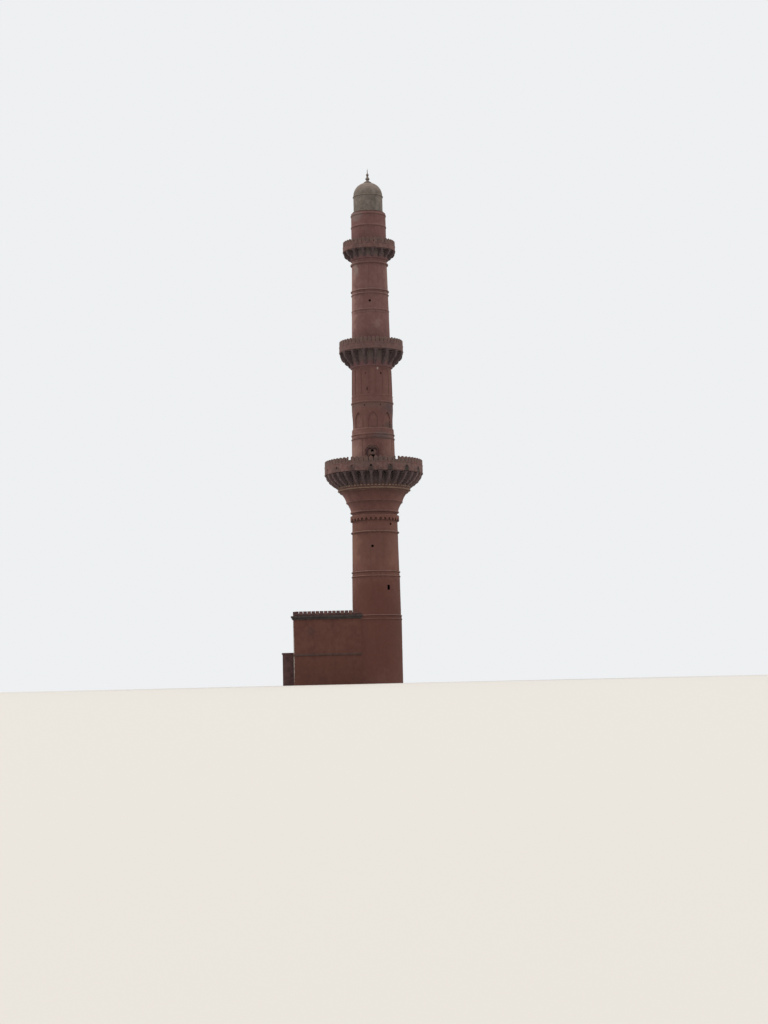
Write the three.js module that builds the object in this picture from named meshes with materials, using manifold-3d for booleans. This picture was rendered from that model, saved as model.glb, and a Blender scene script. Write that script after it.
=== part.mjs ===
// Minaret with a small entrance hall at its foot: a 1:2 model of a masonry tower 64 m tall.
// The model is in millimetres, +Z up. Its origin is the tower's axis at ground level.
// The front faces -Y and the hall runs out along -X.
// Every size below is the real one in metres, and MM turns it into the model's millimetres.
// A bearing is an angle in degrees about the axis, from the front (-Y) towards +X.
import * as THREE from 'three';
import Module from 'manifold-3d';

const wasm = await Module();
wasm.setup();

const MM = 500;

// Fineness and fits
const SHAFT_SIDES = 32;
const DOME_SIDES = 24;
const ARCH_STEPS = 3;
const JOINT_ANGLE = 0.012;
const GAP = 0.0006;
const SINK = 0.05;
const ROLL_LIMIT = 0.5;
const SPLAY = 0.08;
const REACH = 20;

// Storeys, floors and galleries: heights above the ground
const FLOOR_THICK = 0.3;
const WALL_FACE = 3.02;
const BASE_RING = 3.08;
const FOOT_RING = 7.7;
const GALLERY1 = {
  underside: 25.45, floor: 25.85, wallTop: 26.55, top: 27.18, outer: 6.05, thick: 0.35, merlons: 64,
};
const GALLERY2 = {
  underside: 40.6, floor: 40.9, wallTop: 41.35, top: 41.92, outer: 3.975, thick: 0.32, merlons: 48,
};
const GALLERY3 = {
  underside: 53.25, floor: 53.5, wallTop: 53.85, top: 54.38, outer: 3.28, thick: 0.28, merlons: 40,
};
const MERLON = { share: 0.78, shoulder: 0.6, inset: 0.03 };
const THROAT_BOTTOM = 20.64;
const CORBEL2_BOTTOM = 38.6;
const CORBEL3_BOTTOM = 52.1;
const DOME_BOTTOM = 58.1;
const DOME_SPRING = 60.4;
const DOME_RADIUS = 1.8;
const DOME_SHELL = 0.3;
const FINIAL_SEAT = 62.1;
const TIP = 64.0;

// Storeys 1 and 2 are each built in two lifts. The bed joint of storey 1 is the sill of its upper
// windows, and the one of storey 2 lies over a ring.
const UPPER_WINDOW = { x: -0.2, height: 16.57, width: 0.36, tall: 0.36 };
const BED1 = UPPER_WINDOW.height - UPPER_WINDOW.tall / 2;
const BED2 = 34.8;

// The quarters of a round wall: each name with the bearings of its ends
const QUARTERS = [['front', -45, 45], ['right', 45, 135], ['rear', 135, 225], ['left', 225, 315]];

// Bore of each storey
const BORE1 = 1.95;
const BORE2 = 1.75;
const BORE3 = 1.55;
const BORE4 = 1.45;

// Windows
const ROUND_HOLE = { width: 0.36, tall: 0.36 };
const WIDE_HOLE = { width: 0.42, tall: 0.34 };
const SLOT = { width: 0.3, tall: 0.62 };
const SMALL_SLOT = { width: 0.22, tall: 0.46 };

// Colours of the limewashed plaster and of the weathered parts
const RED = 0x9a5a48;
const DEEP_RED = 0x9c5040;
const BROWN = 0x7d5a4c;
const GREY = 0x6f635b;

// The turn about Z, in radians, that brings the front round to a bearing.
const turn = (bearing) => THREE.MathUtils.degToRad(bearing);

// A closed set of points and faces as a solid that can be joined and cut.
function solid(positions, index) {
  return new wasm.Manifold(new wasm.Mesh({
    numProp: 3,
    vertProperties: Float32Array.from(positions),
    triVerts: Uint32Array.from(index),
  }));
}

// A three.js geometry as such a solid, with the vertices that lie at one place shared.
function fromGeometry(geometry) {
  const points = geometry.attributes.position;
  const { index } = geometry;
  const corners = index ? index.count : points.count;
  const order = Array.from({ length: corners }, (_, i) => (index ? index.getX(i) : i));
  const places = new Map();
  const positions = [];
  const shared = order.map((vertex) => {
    const at = [points.getX(vertex), points.getY(vertex), points.getZ(vertex)];
    const key = at.map((value) => Math.round(value * 100)).join();
    if (!places.has(key)) {
      places.set(key, places.size);
      positions.push(...at);
    }
    return places.get(key);
  });
  return solid(positions, shared);
}

// A closed outline of [radius, height] points, given anticlockwise, turned about the axis.
// A part turn gets flat ends, and a point on the axis becomes one vertex.
function turned(outline, sides, from = 0, to = 360) {
  const whole = to - from === 360;
  const steps = whole ? sides : Math.max(1, Math.round((sides * (to - from)) / 360));
  const columns = whole ? steps : steps + 1;
  const positions = [];
  const vertices = outline.map(([radius, height]) => {
    const column = [];
    for (let i = 0; i < columns; i += 1) {
      if (radius > 0 || i === 0) {
        const angle = turn(from + ((to - from) * i) / steps);
        positions.push(radius * Math.sin(angle) * MM, -radius * Math.cos(angle) * MM, height * MM);
      }
      column.push(positions.length / 3 - 1);
    }
    return column;
  });
  const index = [];
  const face = (a, b, c) => {
    if (a !== b && b !== c && c !== a) index.push(a, b, c);
  };
  for (let i = 0; i < steps; i += 1) {
    const next = (i + 1) % columns;
    outline.forEach((_, j) => {
      const k = (j + 1) % outline.length;
      face(vertices[j][i], vertices[j][next], vertices[k][next]);
      face(vertices[j][i], vertices[k][next], vertices[k][i]);
    });
  }
  if (!whole) {
    const flat = outline.map(([radius, height]) => new THREE.Vector2(radius, height));
    for (const [a, b, c] of THREE.ShapeUtils.triangulateShape(flat, [])) {
      face(vertices[a][0], vertices[b][0], vertices[c][0]);
      face(vertices[a][steps], vertices[c][steps], vertices[b][steps]);
    }
  }
  return solid(positions, index);
}

// A block between two corners, turned about the axis to a bearing.
function block([x0, y0, z0], [x1, y1, z1], bearing = 0) {
  const geometry = new THREE.BoxGeometry((x1 - x0) * MM, (y1 - y0) * MM, (z1 - z0) * MM);
  geometry.translate(((x0 + x1) / 2) * MM, ((y0 + y1) / 2) * MM, ((z0 + z1) / 2) * MM);
  geometry.rotateZ(turn(bearing));
  return fromGeometry(geometry);
}

// A shape drawn as seen from the front, in x and height, run through from y0 to y1, moved along x
// and turned about the axis to a bearing.
function slab(shape, y0, y1, bearing = 0, along = 0) {
  const settings = { depth: y1 - y0, bevelEnabled: false, curveSegments: ARCH_STEPS };
  const geometry = new THREE.ExtrudeGeometry(shape, settings);
  geometry.rotateX(Math.PI / 2);
  geometry.translate(along, y1, 0);
  geometry.scale(MM, MM, MM);
  geometry.rotateZ(turn(bearing));
  return fromGeometry(geometry);
}

// The outline of an opening under a pointed arch of two equal arcs.
function pointedArch(halfWidth, sill, spring, apex) {
  const rise = apex - spring;
  const radius = (halfWidth * halfWidth + rise * rise) / (2 * halfWidth);
  const sweep = Math.asin(rise / radius);
  const shape = new THREE.Shape();
  shape.moveTo(-halfWidth, sill);
  shape.lineTo(halfWidth, sill);
  shape.lineTo(halfWidth, spring);
  shape.absarc(halfWidth - radius, spring, radius, 0, sweep, false);
  shape.absarc(radius - halfWidth, spring, radius, Math.PI - sweep, Math.PI, false);
  shape.lineTo(-halfWidth, sill);
  return shape;
}

// A bracket's side outline of [radius, height] points, as thick as width, at a bearing.
function bracket(outline, width, bearing) {
  const points = outline.map(([radius, height]) => new THREE.Vector2(radius * MM, height * MM));
  const settings = { depth: width * MM, bevelEnabled: false };
  const geometry = new THREE.ExtrudeGeometry(new THREE.Shape(points), settings);
  geometry.translate(0, 0, (-width / 2) * MM);
  geometry.rotateX(Math.PI / 2);
  geometry.rotateZ(turn(bearing - 90));
  return fromGeometry(geometry);
}

// The outer face of a wall through its stations of [height, radius], with mouldings that stand
// out from it, each [bottom, top, radius]. A narrow one is a roll with one edge, a wide one a
// band with a splay above and below it.
function wallFace(stations, mouldings = []) {
  const radiusAt = (height) => {
    const i = Math.max(1, stations.findIndex(([top]) => top >= height));
    const [[z0, r0], [z1, r1]] = [stations[i - 1], stations[i]];
    return r0 + ((r1 - r0) * (height - z0)) / (z1 - z0);
  };
  const points = stations.map(([height, radius]) => [radius, height]);
  for (const [low, high, radius] of mouldings) {
    const edges = high - low < ROLL_LIMIT ? [(low + high) / 2] : [low + SPLAY, high - SPLAY];
    points.push([radiusAt(low), low], ...edges.map((height) => [radius, height]), [radiusAt(high), high]);
  }
  return points.sort((a, b) => a[1] - b[1]);
}

// A wall's outline: its face from the bottom up, then its bore from the top down.
function hollow(face, bore) {
  const top = face[face.length - 1][1];
  return [...face, [bore, top], [bore, face[0][1]]];
}

const minaret = new THREE.Group();

// One named piece of the building.
function piece(name, body, color) {
  const { vertProperties, triVerts } = body.getMesh();
  const geometry = new THREE.BufferGeometry();
  geometry.setAttribute('position', new THREE.BufferAttribute(new Float32Array(vertProperties), 3));
  geometry.setIndex(new THREE.BufferAttribute(new Uint32Array(triVerts), 1));
  const material = new THREE.MeshStandardMaterial({ color, roughness: 0.9, metalness: 0 });
  const mesh = new THREE.Mesh(geometry, material);
  mesh.name = name;
  minaret.add(mesh);
}

// A round wall in the parts given, with windows and recesses cut out of them.
function roundWall(name, face, bore, parts, cuts, color) {
  for (const [side, from, to] of parts) {
    const part = turned(hollow(face, bore), SHAFT_SIDES, from + JOINT_ANGLE, to - JOINT_ANGLE);
    piece(`${name}_${side}`, cuts.reduce((rest, cutter) => rest.subtract(cutter), part), color);
  }
}

// The quarter of a round wall that has a doorway, split beside and over the door.
function doorWall(name, face, bore, door, cuts, color) {
  const outline = hollow(face, bore);
  const bottom = face[0][1];
  const top = face[face.length - 1][1];
  const [from, to] = [door.bearing - 45, door.bearing + 45];
  const cut = (body) => cuts.reduce((rest, cutter) => rest.subtract(cutter), body);
  const column = (halfWidth, low) => block([-halfWidth, -REACH, low], [halfWidth, 0, top + 1], door.bearing);
  const beside = column(door.halfWidth + GAP, bottom - 1);
  const left = turned(outline, SHAFT_SIDES, from + JOINT_ANGLE, door.bearing);
  const right = turned(outline, SHAFT_SIDES, door.bearing, to - JOINT_ANGLE);
  const over = turned(outline, SHAFT_SIDES, from, to).intersect(column(door.halfWidth, door.spring));
  piece(`${name}_door_left`, cut(left.subtract(beside)), color);
  piece(`${name}_door_right`, cut(right.subtract(beside)), color);
  piece(`${name}_door_over`, cut(over), color);
}

// The front and right quarters of a round wall with a slot window near their corner, split beside,
// under and over the slot.
function slotWall(name, face, bore, { x, height, width, tall }, color) {
  const whole = turned(hollow(face, bore), SHAFT_SIDES, -45 + JOINT_ANGLE, 135 - JOINT_ANGLE);
  const bottom = face[0][1] - 1;
  const top = face[face.length - 1][1] + 1;
  const half = width / 2;
  const column = (reach, low, high) => block([x - reach, -REACH, low], [x + reach, 0, high]);
  const sides = whole.subtract(column(half + GAP, bottom, top));
  const frontward = block([-REACH, -REACH, bottom], [x, 0, top]);
  piece(`${name}_front`, sides.intersect(frontward), color);
  piece(`${name}_right`, sides.subtract(frontward), color);
  piece(`${name}_slot_under`, whole.intersect(column(half, bottom, height - tall / 2)), color);
  piece(`${name}_slot_over`, whole.intersect(column(half, height + tall / 2, top)), color);
}

// A round wall in two halves that part at a front and a rear window, both standing on the bed joint.
// A piece over each window closes the ring.
function windowWall(name, face, bore, { x, height, width, tall }, color) {
  const whole = turned(hollow(face, bore), SHAFT_SIDES, -45, 315);
  const bottom = face[0][1] - 1;
  const top = face[face.length - 1][1] + 1;
  const half = width / 2;
  const column = (reach, low, bearing) => block([x - reach, -REACH, low], [x + reach, 0, top], bearing);
  const rest = whole.subtract(column(half + GAP, bottom, 0)).subtract(column(half + GAP, bottom, 180));
  const leftward = block([-REACH, -REACH, bottom], [x, 0, top])
    .add(block([-REACH, -GAP, bottom], [-x, REACH, top]));
  piece(`${name}_left`, rest.intersect(leftward), color);
  piece(`${name}_right`, rest.subtract(leftward), color);
  for (const [side, bearing] of [['front', 0], ['rear', 180]]) {
    const over = whole.intersect(column(half, height + tall / 2, bearing));
    piece(`${name}_over_${side}`, over, color);
  }
}

// A doorway cut right through the wall it faces.
function doorway({ bearing, halfWidth, sill, spring, apex }) {
  return slab(pointedArch(halfWidth + GAP, sill - 1, spring, apex), -REACH, 0, bearing);
}

// A slot window straight through the front or rear wall, at x across it.
function slot(x, height, { width, tall }, bearing = 0) {
  return block([x - width / 2, -REACH, height - tall / 2], [x + width / 2, 0, height + tall / 2], bearing);
}

// A round window of eight sides straight through the front or rear wall, at x across it.
function roundHole(x, height, { width, tall }, bearing = 0) {
  const geometry = new THREE.CylinderGeometry(width / 2, width / 2, REACH, 8);
  geometry.scale(1, 1, tall / width);
  geometry.translate(x, -REACH / 2, height);
  geometry.scale(MM, MM, MM);
  geometry.rotateZ(turn(bearing));
  return fromGeometry(geometry);
}

// A gallery's wall over part of its round, with one flat side under each merlon. The flat sides
// touch the circle of the outer radius, and each merlon is a pointed leaf of stone.
function galleryWall({ underside, wallTop, top, outer, thick, merlons }, from, count) {
  const pitch = 360 / merlons;
  const corner = 1 / Math.cos(turn(pitch / 2));
  const [face, back] = [outer * corner, (outer - thick) * corner];
  const whole = count === merlons;
  const end = from + pitch * count;
  const wall = turned(
    [[face, underside], [face, wallTop], [back, wallTop], [back, underside]],
    merlons,
    whole ? from : from + JOINT_ANGLE,
    whole ? end : end - JOINT_ANGLE,
  );
  const half = (outer * turn(pitch) * MERLON.share) / 2;
  const shoulder = wallTop + (top - wallTop) * MERLON.shoulder;
  const leaf = new THREE.Shape([
    new THREE.Vector2(-half, wallTop - SINK),
    new THREE.Vector2(half, wallTop - SINK),
    new THREE.Vector2(half, shoulder),
    new THREE.Vector2(0, top),
    new THREE.Vector2(-half, shoulder),
  ]);
  const leaves = Array.from({ length: count }, (_, i) => slab(
    leaf,
    -outer + MERLON.inset,
    -outer + thick - MERLON.inset,
    from + pitch * (i + 0.5),
  ));
  return leaves.reduce((built, merlon) => built.add(merlon), wall);
}

// Brackets all round a wall, joined to it. The first one's bearing is given.
function withBrackets(wall, outline, { count, first, width }) {
  let whole = wall;
  for (let i = 0; i < count; i += 1) {
    whole = whole.add(bracket(outline, width, first + (360 * i) / count));
  }
  return whole;
}

// The plate that a gallery and the storey above it stand on.
function galleryFloor({ underside, floor, outer, thick, merlons }) {
  const half = 180 / merlons;
  const radius = (outer - thick - GAP) / Math.cos(turn(half));
  const plate = [[0, underside], [radius, underside], [radius, floor], [0, floor]];
  return turned(plate, merlons, -half, 360 - half);
}

// Storey 1, from the ground to the throat. Its foot is thicker and stands against the hall.
const lowerFace1 = wallFace(
  [[0, WALL_FACE], [8.0, WALL_FACE], [8.35, 2.95], [12.7, 2.905], [13.8, 2.85], [BED1, 2.81]],
  [[FOOT_RING, 7.85, BASE_RING], [8.12, 8.3, BASE_RING], [12.9, 13.08, 2.98], [13.45, 13.62, 2.98]],
);
const upperFace1 = wallFace(
  [[BED1, 2.81], [THROAT_BOTTOM, 2.745]],
  [[18.24, 18.49, 2.95], [19.72, 20.45, 2.97]],
);
const hallDoor = { bearing: 270, halfWidth: 0.55, sill: 0, spring: 1.75, apex: 2.4 };
slotWall('storey1', lowerFace1, BORE1, { x: 1.62, height: 11.55, ...SLOT }, RED);
roundWall('storey1', lowerFace1, BORE1, QUARTERS.slice(2, 3), [], RED);
doorWall('storey1', lowerFace1, BORE1, hallDoor, [doorway(hallDoor)], RED);
windowWall('storey1_upper', upperFace1, BORE1, UPPER_WINDOW, RED);

// Throat: storey 1 flares out in coves between three rings, to brackets under gallery 1.
const throatFace = [
  [2.745, THROAT_BOTTOM], [2.95, 20.8], [2.97, 21.05], [3.25, 21.95], [3.42, 22.05], [3.5, 22.42],
  [3.71, 22.91], [3.95, 23.2], [4.26, 23.35], [4.36, 23.7], [4.4, GALLERY1.underside],
];
const throatBracket = [
  [4.2, 23.6], [4.4, 23.6], [5.5, 24.7], [5.97, 25.25],
  [5.97, GALLERY1.underside], [4.2, GALLERY1.underside],
];
const THROAT_BRACKETS = { count: 32, first: 0, width: 0.42 };
const throat = turned(hollow(throatFace, BORE1), SHAFT_SIDES);
piece('throat', withBrackets(throat, throatBracket, THROAT_BRACKETS), BROWN);

// Gallery 1
piece('gallery1_floor', galleryFloor(GALLERY1), BROWN);
for (const [side, from] of QUARTERS) {
  const start = from - 180 / GALLERY1.merlons;
  piece(`gallery1_wall_${side}`, galleryWall(GALLERY1, start, GALLERY1.merlons / 4), GREY);
}

// Storey 2: a doorway in an arched recess, a waist of eight blind arches, then a plain taper.
const lowerFace2 = wallFace(
  [[GALLERY1.floor, 2.66], [29.9, 2.6], [31.0, 2.56], [31.1, 2.47], [32.7, 2.47], [33.4, 2.525],
    [BED2, 2.53]],
  [[29.97, 30.17, 2.665], [30.25, 30.42, 2.67], [34.17, 34.42, 2.625]],
);
const upperFace2 = wallFace([[BED2, 2.53], [35.2, 2.49], [CORBEL2_BOTTOM, 2.42]]);
const door2 = { bearing: 0, halfWidth: 0.5, sill: GALLERY1.floor, spring: 27.3, apex: 27.75 };
const RECESS = { halfWidth: 0.8, spring: 28.1, apex: 28.78, back: 2.44 };
const recess = slab(
  pointedArch(RECESS.halfWidth, GALLERY1.floor - 1, RECESS.spring, RECESS.apex),
  -REACH,
  -RECESS.back,
);
const BLIND = { count: 8, first: 4, halfWidth: 0.5, sill: 31.2, spring: 32.3, apex: 32.95, back: 2.38 };
const blindArches = Array.from({ length: BLIND.count }, (_, i) => slab(
  pointedArch(BLIND.halfWidth, BLIND.sill, BLIND.spring, BLIND.apex),
  -REACH,
  -BLIND.back,
  BLIND.first + (360 * i) / BLIND.count,
));
const wideWindow = slot(0, 28.23, WIDE_HOLE);
roundWall('storey2', lowerFace2, BORE2, QUARTERS.slice(1), blindArches, RED);
doorWall('storey2', lowerFace2, BORE2, door2, [doorway(door2), recess, wideWindow, ...blindArches], RED);
roundWall('storey2_upper', upperFace2, BORE2, QUARTERS, [
  slot(-0.43, 35.86, SMALL_SLOT),
  slot(-0.43, 35.86, SMALL_SLOT, 180),
], RED);

// Corbels and gallery 2
const corbelFace2 = [[2.42, CORBEL2_BOTTOM], [2.64, 38.85], [3.0, GALLERY2.underside]];
const corbelBracket2 = [
  [2.4, 38.9], [2.7, 38.9], [3.5, 39.65], [3.92, 40.35],
  [3.92, GALLERY2.underside], [2.4, GALLERY2.underside],
];
const BRACKETS2 = { count: 16, first: 11.25, width: 0.45 };
const corbels2 = turned(hollow(corbelFace2, BORE2), SHAFT_SIDES);
piece('gallery2_corbels', withBrackets(corbels2, corbelBracket2, BRACKETS2), BROWN);
piece('gallery2_floor', galleryFloor(GALLERY2), BROWN);
piece('gallery2_wall', galleryWall(GALLERY2, -180 / GALLERY2.merlons, GALLERY2.merlons), GREY);

// Storey 3
const face3 = wallFace(
  [[GALLERY2.floor, 2.38], [45.3, 2.29], [CORBEL3_BOTTOM, 2.155]],
  [[45.68, 45.88, 2.335], [47.7, 47.9, 2.335], [48.15, 48.38, 2.37], [51.5, 51.8, 2.35]],
);
const door3 = { bearing: 180, halfWidth: 0.45, sill: GALLERY2.floor, spring: 42.2, apex: 42.8 };
const upperParts = QUARTERS.filter(([side]) => side !== 'rear');
roundWall('storey3', face3, BORE3, upperParts, [roundHole(0.08, 46.8, ROUND_HOLE)], RED);
doorWall('storey3', face3, BORE3, door3, [doorway(door3)], RED);

// Corbels and gallery 3
const corbelFace3 = [[2.155, CORBEL3_BOTTOM], [2.36, 52.3], [2.45, GALLERY3.underside]];
const corbelBracket3 = [
  [2.1, 52.3], [2.45, 52.3], [2.95, 52.75], [3.22, 53.1],
  [3.22, GALLERY3.underside], [2.1, GALLERY3.underside],
];
const BRACKETS3 = { count: 16, first: 11.25, width: 0.38 };
const corbels3 = turned(hollow(corbelFace3, BORE3), SHAFT_SIDES);
piece('gallery3_corbels', withBrackets(corbels3, corbelBracket3, BRACKETS3), BROWN);
piece('gallery3_floor', galleryFloor(GALLERY3), BROWN);
piece('gallery3_wall', galleryWall(GALLERY3, -180 / GALLERY3.merlons, GALLERY3.merlons), GREY);

// Storey 4
const face4 = wallFace(
  [[GALLERY3.floor, 2.16], [DOME_BOTTOM, 2.13]],
  [[56.25, 56.5, 2.2], [57.72, 57.95, 2.2]],
);
const door4 = { bearing: 180, halfWidth: 0.42, sill: GALLERY3.floor, spring: 54.7, apex: 55.25 };
roundWall('storey4', face4, BORE4, upperParts, [], RED);
doorWall('storey4', face4, BORE4, door4, [doorway(door4)], RED);

// Dome: a short round wall and a pointed shell over it, closed by a flat seat for the finial
const OUTER_STEPS = 6;
const INNER_STEPS = 4;
const domePoint = (radius, crown, share) => {
  const angle = (share * Math.PI) / 2;
  return [radius * Math.cos(angle) ** 0.9, DOME_SPRING + (crown - DOME_SPRING) * Math.sin(angle)];
};
const FINIAL_FOOT = 0.34;
const INNER_RADIUS = DOME_RADIUS - DOME_SHELL;
const domeCurve = (radius, crown, steps) => (
  Array.from({ length: steps }, (_, i) => domePoint(radius, crown, i / steps))
);
const outerDome = domeCurve(DOME_RADIUS, FINIAL_SEAT, OUTER_STEPS);
const innerDome = domeCurve(INNER_RADIUS, FINIAL_SEAT - DOME_SHELL, INNER_STEPS);
piece('dome', turned([
  [2.0, DOME_BOTTOM], [2.0, DOME_BOTTOM + 0.25], [DOME_RADIUS, DOME_BOTTOM + 0.35],
  ...outerDome,
  [FINIAL_FOOT, FINIAL_SEAT - 0.02], [FINIAL_FOOT, FINIAL_SEAT], [0, FINIAL_SEAT],
  [0, FINIAL_SEAT - DOME_SHELL],
  ...innerDome.reverse(),
  [INNER_RADIUS, DOME_BOTTOM],
], DOME_SIDES), GREY);

// Finial: a foot, two balls and a spike
const FINIAL_SIDES = 12;
piece('finial', turned([
  [0, FINIAL_SEAT], [0.32, FINIAL_SEAT], [0.3, 62.22], [0.12, 62.32], [0.24, 62.46], [0.28, 62.62],
  [0.24, 62.78], [0.09, 62.92], [0.16, 63.02], [0.18, 63.14], [0.15, 63.26], [0.05, 63.38], [0, TIP],
], FINIAL_SIDES), GREY);

// Hall: two long walls that end against the tower, an end wall, a roof with eaves and a parapet
const HALL = {
  end: -10.0, near: -1.4, half: 2.4, wall: 0.8, top: 7.9, roofTop: 8.35, parapetTop: 8.62, eave: 0.25,
};
const STRING = { bottom: 3.6, top: 3.85, out: 0.08 };
const { end, near, half, wall, top } = HALL;

// The tower's own space, which the hall's walls and roof end against.
const disc = (radius, low, high) => turned([[0, low], [radius, low], [radius, high], [0, high]], SHAFT_SIDES);
const towerSpace = disc(WALL_FACE + GAP, -1, top + SINK)
  .add(disc(BASE_RING + GAP, FOOT_RING - GAP, HALL.parapetTop + 1));

// A string course stands out of the walls on the two long sides.
const courseStart = [end - STRING.out, -half - STRING.out, STRING.bottom];
const courseFront = block(courseStart, [near, -half + SINK, STRING.top]);
const courseCorner = block(courseStart, [end + SINK, -half + wall, STRING.top]);
const frontWall = block([end, -half, 0], [near, -half + wall, top]).add(courseFront).add(courseCorner);
piece('front_wall', frontWall.subtract(towerSpace), DEEP_RED);

const rearDoor = { at: -6.5, halfWidth: 0.65, spring: 1.9, apex: 2.75 };
const rearDoorLeft = rearDoor.at - rearDoor.halfWidth;
const rearDoorRight = rearDoor.at + rearDoor.halfWidth;
const rearWall = (x0, x1, z0) => block([x0, half - wall, z0], [x1, half, top])
  .add(block([x0, half - SINK, STRING.bottom], [x1, half + STRING.out, STRING.top]));
piece('rear_wall_far', rearWall(end, rearDoorLeft - GAP, 0), DEEP_RED);
piece('rear_wall_near', rearWall(rearDoorRight + GAP, near, 0).subtract(towerSpace), DEEP_RED);
const rearArch = pointedArch(rearDoor.halfWidth + GAP, -1, rearDoor.spring, rearDoor.apex);
const overRearDoor = rearWall(rearDoorLeft, rearDoorRight, rearDoor.spring);
piece('rear_wall_over_door', overRearDoor.subtract(slab(rearArch, 0, half + 1, 0, rearDoor.at)), DEEP_RED);

piece('end_wall', block([end, -half + wall, 0], [end + wall, half - wall, top]), DEEP_RED);
const roof = block([end - HALL.eave, -half - HALL.eave, top], [near, half + HALL.eave, HALL.roofTop]);
piece('hall_roof', roof.subtract(towerSpace), BROWN);

// A low wall with merlons stands on the edge of the roof.
const PARAPET_THICK = 0.3;
const ROOF_MERLON = { pitch: 0.5, width: 0.32, height: 0.28 };
const merlonRow = (from, to, fixed, alongY) => {
  const count = Math.floor((to - from) / ROOF_MERLON.pitch);
  const start = (from + to - (count - 1) * ROOF_MERLON.pitch) / 2;
  return Array.from({ length: count }, (_, i) => {
    const middle = start + i * ROOF_MERLON.pitch;
    const [low, high] = [HALL.parapetTop - SINK, HALL.parapetTop + ROOF_MERLON.height];
    const [a, b] = [middle - ROOF_MERLON.width / 2, middle + ROOF_MERLON.width / 2];
    const [c, d] = [fixed + MERLON.inset, fixed + PARAPET_THICK - MERLON.inset];
    return alongY ? block([c, a, low], [d, b, high]) : block([a, c, low], [b, d, high]);
  });
};
const LAST_MERLON = -2.6;
const withMerlons = (lowWall, merlons) => merlons.reduce((whole, merlon) => whole.add(merlon), lowWall);
const parapetRun = (y) => withMerlons(
  block([end, y, HALL.roofTop], [near, y + PARAPET_THICK, HALL.parapetTop]),
  merlonRow(end, LAST_MERLON, y, false),
);
piece('hall_parapet_front', parapetRun(-half).subtract(towerSpace), DEEP_RED);
piece('hall_parapet_rear', parapetRun(half - PARAPET_THICK).subtract(towerSpace), DEEP_RED);
const inner = half - PARAPET_THICK;
piece('hall_parapet_end', withMerlons(
  block([end, -inner, HALL.roofTop], [end + PARAPET_THICK, inner, HALL.parapetTop]),
  merlonRow(-inner, inner, end, true),
), DEEP_RED);

// Terrace: a low block of masonry behind the hall's far corner, with a coping
const TERRACE = { far: -11.46, front: -1.2, coping: 3.78, top: 4.0 };
const coping = block(
  [TERRACE.far - STRING.out, TERRACE.front - STRING.out, TERRACE.coping],
  [end - GAP, half, TERRACE.top],
);
const terrace = block([TERRACE.far, TERRACE.front, 0], [end - GAP, half, TERRACE.coping + SINK]);
piece('terrace', terrace.add(coping), DEEP_RED);

// Ground floors of the hall and the tower. The hall's runs out through both of its doorways.
const hallFloor = block([end + wall, -half + wall, 0], [-WALL_FACE - 2 * GAP, half - wall, FLOOR_THICK])
  .add(block([-WALL_FACE - SINK, -hallDoor.halfWidth, 0], [-BORE1 / 2, hallDoor.halfWidth, FLOOR_THICK]))
  .add(block([rearDoorLeft, half - wall - SINK, 0], [rearDoorRight, half, FLOOR_THICK]))
  .subtract(disc(BORE1, -1, 1));
piece('hall_floor', hallFloor, BROWN);
piece('tower_floor', disc(BORE1 - GAP, 0, FLOOR_THICK), BROWN);

export default minaret;
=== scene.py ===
"""Looks for a round masonry minaret with a small entrance hall at its foot.

The real tower is 64 m tall and the model is half that size. Every size here is a real one: metres for
shapes and millimetres for surface patterns, and SCALE turns it into the model's metres. A height is above
the ground, a radius is from the tower's axis, and a bearing is an angle in degrees about that axis, from
the front (-Y) towards +X.
"""

import logging
import math
from collections.abc import Callable, Iterator, Sequence
from contextlib import contextmanager
from dataclasses import dataclass, replace
from enum import Enum
from functools import cache

import bpy
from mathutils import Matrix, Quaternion, Vector

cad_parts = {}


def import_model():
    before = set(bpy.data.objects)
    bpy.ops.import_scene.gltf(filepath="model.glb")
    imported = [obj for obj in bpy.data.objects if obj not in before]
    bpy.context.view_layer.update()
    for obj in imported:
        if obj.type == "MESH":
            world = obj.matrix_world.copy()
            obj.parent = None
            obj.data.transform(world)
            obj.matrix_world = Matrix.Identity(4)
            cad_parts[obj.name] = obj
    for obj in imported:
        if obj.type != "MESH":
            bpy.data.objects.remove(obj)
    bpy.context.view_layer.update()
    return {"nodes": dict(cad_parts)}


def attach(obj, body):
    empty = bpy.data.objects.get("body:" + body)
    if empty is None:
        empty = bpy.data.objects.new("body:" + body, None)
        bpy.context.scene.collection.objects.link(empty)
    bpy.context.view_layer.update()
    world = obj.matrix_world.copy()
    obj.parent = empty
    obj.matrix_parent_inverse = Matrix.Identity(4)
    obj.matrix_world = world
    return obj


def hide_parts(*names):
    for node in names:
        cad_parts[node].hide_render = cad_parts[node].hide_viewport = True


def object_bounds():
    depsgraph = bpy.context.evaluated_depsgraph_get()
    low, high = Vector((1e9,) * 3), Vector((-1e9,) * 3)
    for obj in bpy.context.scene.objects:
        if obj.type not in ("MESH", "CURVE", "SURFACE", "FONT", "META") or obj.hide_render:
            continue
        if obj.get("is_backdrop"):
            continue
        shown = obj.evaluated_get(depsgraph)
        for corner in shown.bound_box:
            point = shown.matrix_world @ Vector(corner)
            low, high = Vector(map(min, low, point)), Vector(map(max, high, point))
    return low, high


log = logging.getLogger("minaret")

SCALE = 0.5
ROUND_SIDES = 160
ROW_HEIGHT = 0.45
WELD = 0.00002
FAR_OUT = 8.0
SMOOTH_ANGLE = 32.0
EDGE_ANGLE = 40.0

Point = tuple[float, float]
Colour = tuple[float, float, float, float]
Piece = bpy.types.Object
Tree = bpy.types.NodeTree
Socket = bpy.types.NodeSocket


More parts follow.
